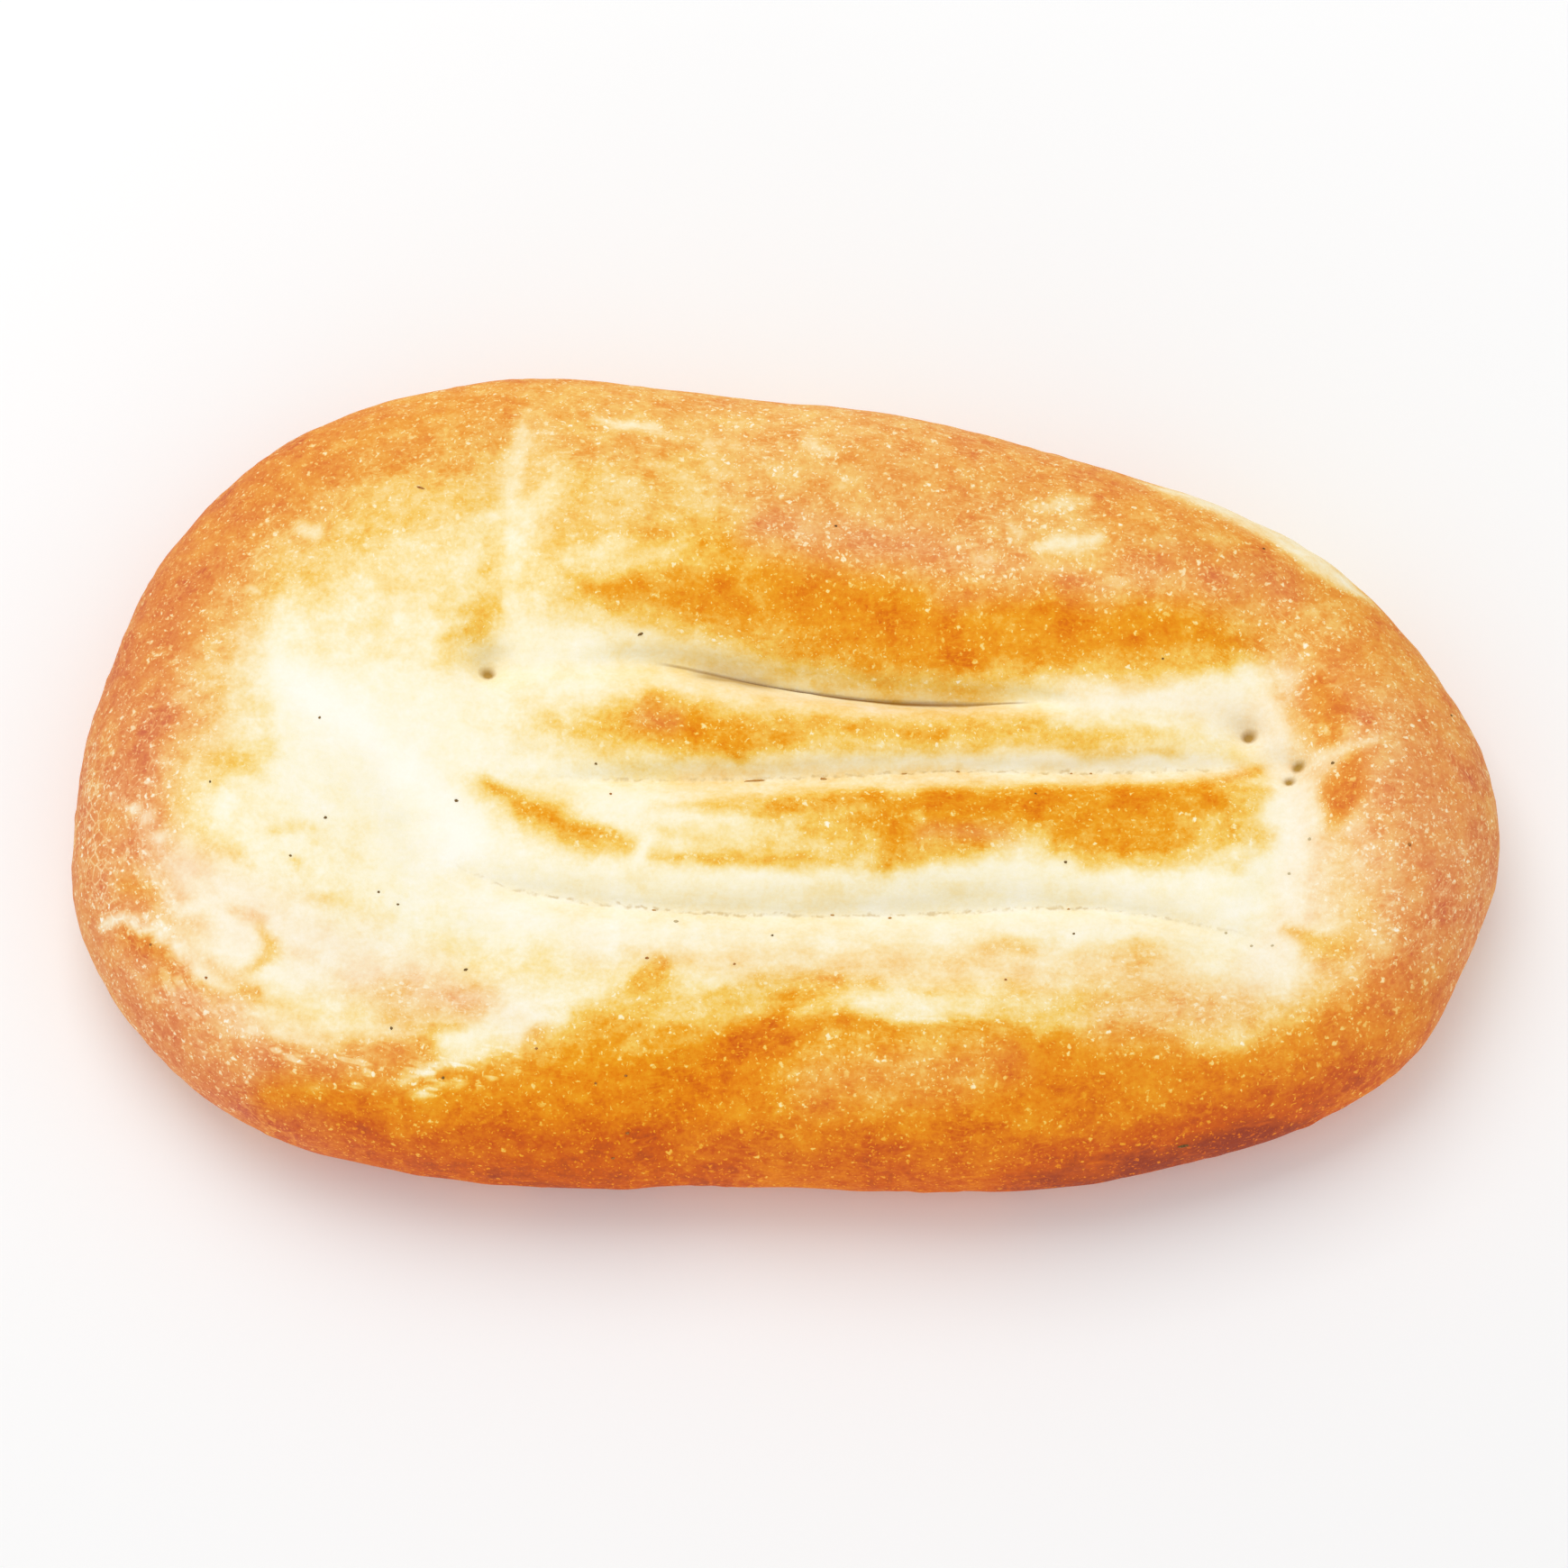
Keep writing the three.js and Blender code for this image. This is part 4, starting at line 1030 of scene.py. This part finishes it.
seam_shadow_line = spread(seam_gap, LINE_CORE, SEAM_LINE_HALF_WIDTH, SEAM_SHADOW_STRENGTH, 0.0)
seam_shadow_line = sum_up("MULTIPLY", seam_shadow_line, stored("seam_shut"))
seam_shadow_line = sum_up("MULTIPLY", seam_shadow_line, spread(speckle(place, *SEAM_BREAKS), *SEAM_SHOWS))
pit_shade = spread(stored("pit_mark"), *PIT_SHADOW_SHOWS)
for share, tone in ((stored("slit_shade"), SHADE_TONE), (slit_shadow_line, SLIT_SHADOW_TONE), (seam_shadow_line, SEAM_SHADOW_TONE),
                    (pit_shade, PIT_SHADOW_TONE)):
    coloured = blend_tones(share, coloured, linear_colour(tone))

bump = nodes.new("ShaderNodeBump")
bump.inputs["Strength"].default_value = BUMP_STRENGTH
bump.inputs["Distance"].default_value = BUMP_HEIGHT
links.new(sum_up("ADD", speckle(place, *FINE_RELIEF), streaks), bump.inputs["Height"])

crust_shader = nodes.new("ShaderNodeBsdfPrincipled")
links.new(coloured, crust_shader.inputs["Base Color"])
links.new(spread(grain, *CRUST_ROUGHNESS), crust_shader.inputs["Roughness"])
links.new(bump.outputs["Normal"], crust_shader.inputs["Normal"])
crust_shader.inputs["Specular IOR Level"].default_value = CRUST_SPECULAR
finish = nodes.new("ShaderNodeOutputMaterial")
links.new(crust_shader.outputs["BSDF"], finish.inputs["Surface"])

loaf_mesh.materials.append(crust)
loaf = bpy.data.objects.new("flatbread_loaf", loaf_mesh)
bpy.context.scene.collection.objects.link(loaf)
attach(loaf, "root")
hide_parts("flatbread")


# The burnt specks: crumbs and flour that charred in the oven and baked on to the crust, and dark chips of
# painted shade in the small openings of the seams. Each is a flat, uneven chip that stands a little proud
# of the skin.

SPECK_SIDES = 9
SPECK_RISE = 0.3  # of the top, in widths
SPECK_SINK = 0.25
SPECK_TOP_SHARE = 0.6  # of its size that the raised ring has
SPECK_SHOULDER = 0.8  # of its rise that the raised ring has
SPECK_UNEVEN = 0.25
SPECK_SEED = 7
SPECKS = {  # a tone, and rows of x, y, length, width and heading in degrees
    "charred": ((74, 54, 28), (
        (-30.5, 23, 1.6, 0.8, 40), (11, 44, 0.9, 0.6, 0), (-118, -13, 0.8, 0.6, 90), (-96, 2, 0.9, 0.7, 60),
        (-94, -20, 1.0, 0.7, 20), (-68, -14, 1.1, 0.9, 0), (-101, -28, 0.8, 0.6, 0),
        (-83, -35, 0.8, 0.7, 0), (-79, -37, 0.7, 0.6, 0), (-65, -51, 1.1, 0.8, 30),
        (-79, -65, 0.9, 0.8, 80), (-69, -74.5, 0.8, 0.7, 0), (-39, -5, 0.8, 0.6, 0), (-2, -43, 0.8, 0.6, 0),
        (52, -12, 0.7, 0.6, 0), (58, -28, 0.8, 0.7, 0), (59, -42.5, 0.7, 0.6, 0), (113, -8, 1.0, 0.8, 20),
        (101, 41, 0.8, 0.6, 0), (139, 6, 0.8, 0.6, 0), (81.5, -84, 3.0, 0.9, 5), (79, 17, 0.8, 0.6, 0))),
    "toasted": ((150, 86, 36), (
        (-76.5, 53, 2.4, 0.6, -20), (-128.5, -45.5, 0.9, 0.7, 0), (-117.5, -53, 0.8, 0.7, 0),
        (-36, -12, 0.8, 0.6, 0), (45.5, -53.5, 0.8, 0.7, 0), (-28, -49, 1.0, 0.8, 0),
        (-10, -50, 0.9, 0.7, 0), (-32, -74.5, 0.9, 0.7, 0), (-38, -75.5, 0.8, 0.6, 0),
        (-32, -84, 1.0, 0.8, 0), (-35, -88, 1.0, 0.7, 0), (-50, -68.5, 0.8, 0.6, 0),
        (126.5, -25.5, 1.0, 0.9, 0))),
    # Painted shade: dark chips that stand for the shade in small openings along the seams.
    "seam shade": ((182, 128, 62), (
        (-6, -8.3, 5.2, 0.8, 4), (7.7, -7.6, 1.9, 0.9, 0), (25, -6.6, 2.2, 0.5, 8), (36, -6, 1.0, 0.6, 0),
        (60, -6, 0.9, 0.6, 0), (64, -6, 0.8, 0.6, 0), (-26.5, -36.8, 1.3, 0.6, 0), (10, -38, 1.2, 0.6, 0),
        (22, -38, 1.0, 0.7, 0), (59, -36.6, 0.9, 0.6, 0))),
    "dusty": ((196, 184, 150), (
        (-22.5, -40, 1.2, 0.9, 0), (91, -42, 0.9, 0.7, 0), (95.5, -45.5, 0.9, 0.7, 0),
        (100, -45.5, 0.9, 0.7, 0), (108, -23, 1.0, 0.8, 0), (104, -30, 0.9, 0.7, 0))),
}
ASH_TONE = (214, 168, 96)
ASH_GRAIN = (2600.0, 2.0)
ASH_SHOWS = (-0.15, 0.2, 0.0, 0.4)  # a range of the grain, and how much ash there is at its ends
CHAR_ROUGHNESS = (-0.2, 0.2, 0.55, 0.8)
CHAR_SPECULAR = 0.1

speck_rows = np.array([row for tone, rows in SPECKS.values() for row in rows])
speck_tones = np.array([linear_colour(tone) for tone, rows in SPECKS.values() for row in rows])
speck_x, speck_y, speck_length, speck_width, speck_heading = speck_rows.T

crust_normals = np.empty(len(skin) * 3)
loaf_mesh.vertices.foreach_get("normal", crust_normals)
crust_normals = crust_normals.reshape(-1, 3)
gap_to_specks = np.hypot(skin[:, 0] - speck_x[:, None], skin[:, 1] - speck_y[:, None])
seats = np.where(on_top, gap_to_specks, np.inf).argmin(axis=1)


def chips(seats, length, width, heading):
    """Uneven oval chips. On each, a top point, a smaller raised ring, a sunk ring of its full size and a
    bottom point lie in the frame of the crust's normal where it sits, turned by a heading."""
    turn = np.linspace(0, 2 * np.pi, SPECK_SIDES, endpoint=False)
    chance = np.random.default_rng(SPECK_SEED)
    draws = chance.uniform(-SPECK_UNEVEN, SPECK_UNEVEN, (len(seats), SPECK_SIDES))
    lengthwise = length[:, None] / 2 * (1 + draws) * np.cos(turn)
    crosswise = width[:, None] / 2 * (1 + draws) * np.sin(turn)
    centre = np.zeros((len(seats), 1))
    rise = SPECK_RISE * width[:, None]
    raised_ring = SPECK_SHOULDER * rise + np.zeros(SPECK_SIDES)
    sunk_ring = np.full(lengthwise.shape, -SPECK_SINK)
    u = np.concatenate([centre, SPECK_TOP_SHARE * lengthwise, lengthwise, centre], axis=1)
    v = np.concatenate([centre, SPECK_TOP_SHARE * crosswise, crosswise, centre], axis=1)
    w = np.concatenate([rise, raised_ring, sunk_ring, centre - 2 * SPECK_SINK], axis=1)
    up = crust_normals[seats]
    ahead = np.stack([np.cos(heading), np.sin(heading), np.zeros(len(seats))], axis=1)
    ahead = ahead - up * (ahead * up).sum(axis=1, keepdims=True)
    ahead = ahead / np.linalg.norm(ahead, axis=1, keepdims=True)
    aside = np.cross(up, ahead)
    return skin[seats][:, None] + (u[..., None] * ahead[:, None] + v[..., None] * aside[:, None]
                                   + w[..., None] * up[:, None])


chip_points = chips(seats, speck_length, speck_width, np.radians(speck_heading))
points_each = chip_points.shape[1]
ring = 1 + np.arange(SPECK_SIDES)
ring_next = np.roll(ring, -1)
top_fan = np.stack([0 * ring, ring, ring_next], axis=1)
chip_sides = np.stack([ring, ring + SPECK_SIDES, ring_next + SPECK_SIDES, ring_next], axis=1)
bottom_fan = np.stack([0 * ring + points_each - 1, ring_next + SPECK_SIDES, ring + SPECK_SIDES], axis=1)
first_points = np.arange(len(seats))[:, None, None] * points_each
speck_faces = [(first_points + part).reshape(-1, part.shape[1]).tolist()
               for part in (top_fan, chip_sides, bottom_fan)]

speck_mesh = bpy.data.meshes.new("burnt_specks_and_seam_shade")
speck_mesh.from_pydata((chip_points.reshape(-1, 3) - plan_shift) * MILLIMETRE, [], sum(speck_faces, []))
speck_mesh.update()
speck_tone = speck_mesh.attributes.new("speck_tone", "FLOAT_COLOR", "POINT")
speck_tone.data.foreach_set("color", np.repeat(speck_tones, points_each, axis=0).astype(np.float32).ravel())

char = bpy.data.materials.new("charred_crumb_and_seam_shade")
char.use_nodes = True
nodes, links = char.node_tree.nodes, char.node_tree.links
char_shader = nodes["Principled BSDF"]
tone_kept = nodes.new("ShaderNodeAttribute")
tone_kept.attribute_name = "speck_tone"
char_grain = speckle(nodes.new("ShaderNodeTexCoord").outputs["Object"], *ASH_GRAIN)
ashen = blend_tones(spread(char_grain, *ASH_SHOWS), tone_kept.outputs["Color"], linear_colour(ASH_TONE))
links.new(ashen, char_shader.inputs["Base Color"])
links.new(spread(char_grain, *CHAR_ROUGHNESS), char_shader.inputs["Roughness"])
char_shader.inputs["Specular IOR Level"].default_value = CHAR_SPECULAR
speck_mesh.materials.append(char)
specks = bpy.data.objects.new("burnt_specks_and_seam_shade", speck_mesh)
bpy.context.scene.collection.objects.link(specks)
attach(specks, "root")


# The table: a plain, matt white floor that the loaf lies on. It is one large square, wide enough that no
# view shows its edge, and lies a hair below the loaf's base so that the two faces stay apart.

FLOOR_HALF = 12.0
FLOOR_DROP = 0.0002
FLOOR_WHITE = (0.96, 0.96, 0.96, 1.0)
FLOOR_ROUGHNESS = 0.9

floor_mesh = bpy.data.meshes.new("floor")
corners = [(-FLOOR_HALF, -FLOOR_HALF, -FLOOR_DROP), (FLOOR_HALF, -FLOOR_HALF, -FLOOR_DROP),
           (FLOOR_HALF, FLOOR_HALF, -FLOOR_DROP), (-FLOOR_HALF, FLOOR_HALF, -FLOOR_DROP)]
floor_mesh.from_pydata(corners, [], [(0, 1, 2, 3)])
floor_paint = bpy.data.materials.new("floor_white")
floor_paint.use_nodes = True
floor_shader = floor_paint.node_tree.nodes["Principled BSDF"]
floor_shader.inputs["Base Color"].default_value = FLOOR_WHITE
floor_shader.inputs["Roughness"].default_value = FLOOR_ROUGHNESS
floor_mesh.materials.append(floor_paint)
floor = bpy.data.objects.new("floor", floor_mesh)
bpy.context.scene.collection.objects.link(floor)


# The light: a bright white room, one large soft lamp above and behind the loaf, and a low, wide white
# card that throws light back on its front side. The card stands far off, so that the edge of its light on
# the floor is out of sight.

ROOM_WHITE = (1.0, 1.0, 1.0, 1.0)
ROOM_STRENGTH = 0.68
LAMPS = {  # place, width, height, watts
    "softbox": ((-0.3, 0.7, 1.4), 1.1, 1.1, 10.0),
    "bounce_card": ((0.0, -5.4, 1.02), 9.6, 1.8, 97.0),
}

world = bpy.data.worlds.new("studio")
world.use_nodes = True
room = world.node_tree.nodes["Background"]
room.inputs["Color"].default_value = ROOM_WHITE
room.inputs["Strength"].default_value = ROOM_STRENGTH
bpy.context.scene.world = world

for lamp_name, (lamp_place, lamp_width, lamp_height, lamp_watts) in LAMPS.items():
    lamp_data = bpy.data.lights.new(lamp_name, "AREA")
    lamp_data.shape = "RECTANGLE"
    lamp_data.size = lamp_width
    lamp_data.size_y = lamp_height
    lamp_data.energy = lamp_watts
    lamp = bpy.data.objects.new(lamp_name, lamp_data)
    lamp.location = lamp_place
    lamp.rotation_euler = (-lamp.location).to_track_quat("-Z", "Y").to_euler()
    lamp.visible_camera = False
    bpy.context.scene.collection.objects.link(lamp)
bpy.context.scene.view_settings.view_transform = "Standard"


# The camera: it looks down on the loaf from the front, as the photograph does, with a long lens. The
# picture is square, so the width that it takes in at the loaf is its height as well.

VIEW_ELEVATION = math.radians(70)
VIEW_DISTANCE = 1.0
VIEW_WIDTH = 0.335
VIEW_TARGET_HEIGHT = 0.007
SENSOR_WIDTH = 36.0

camera_data = bpy.data.cameras.new("camera")
camera_data.sensor_width = SENSOR_WIDTH
camera_data.lens = SENSOR_WIDTH * VIEW_DISTANCE / VIEW_WIDTH
camera = bpy.data.objects.new("camera", camera_data)
target_x, target_y = -plan_shift[:2] * MILLIMETRE  # the outline's own middle
camera.location = (target_x, target_y - VIEW_DISTANCE * math.cos(VIEW_ELEVATION),
                   VIEW_TARGET_HEIGHT + VIEW_DISTANCE * math.sin(VIEW_ELEVATION))
camera.rotation_euler = (math.pi / 2 - VIEW_ELEVATION, 0.0, 0.0)
bpy.context.scene.collection.objects.link(camera)
bpy.context.scene.camera = camera
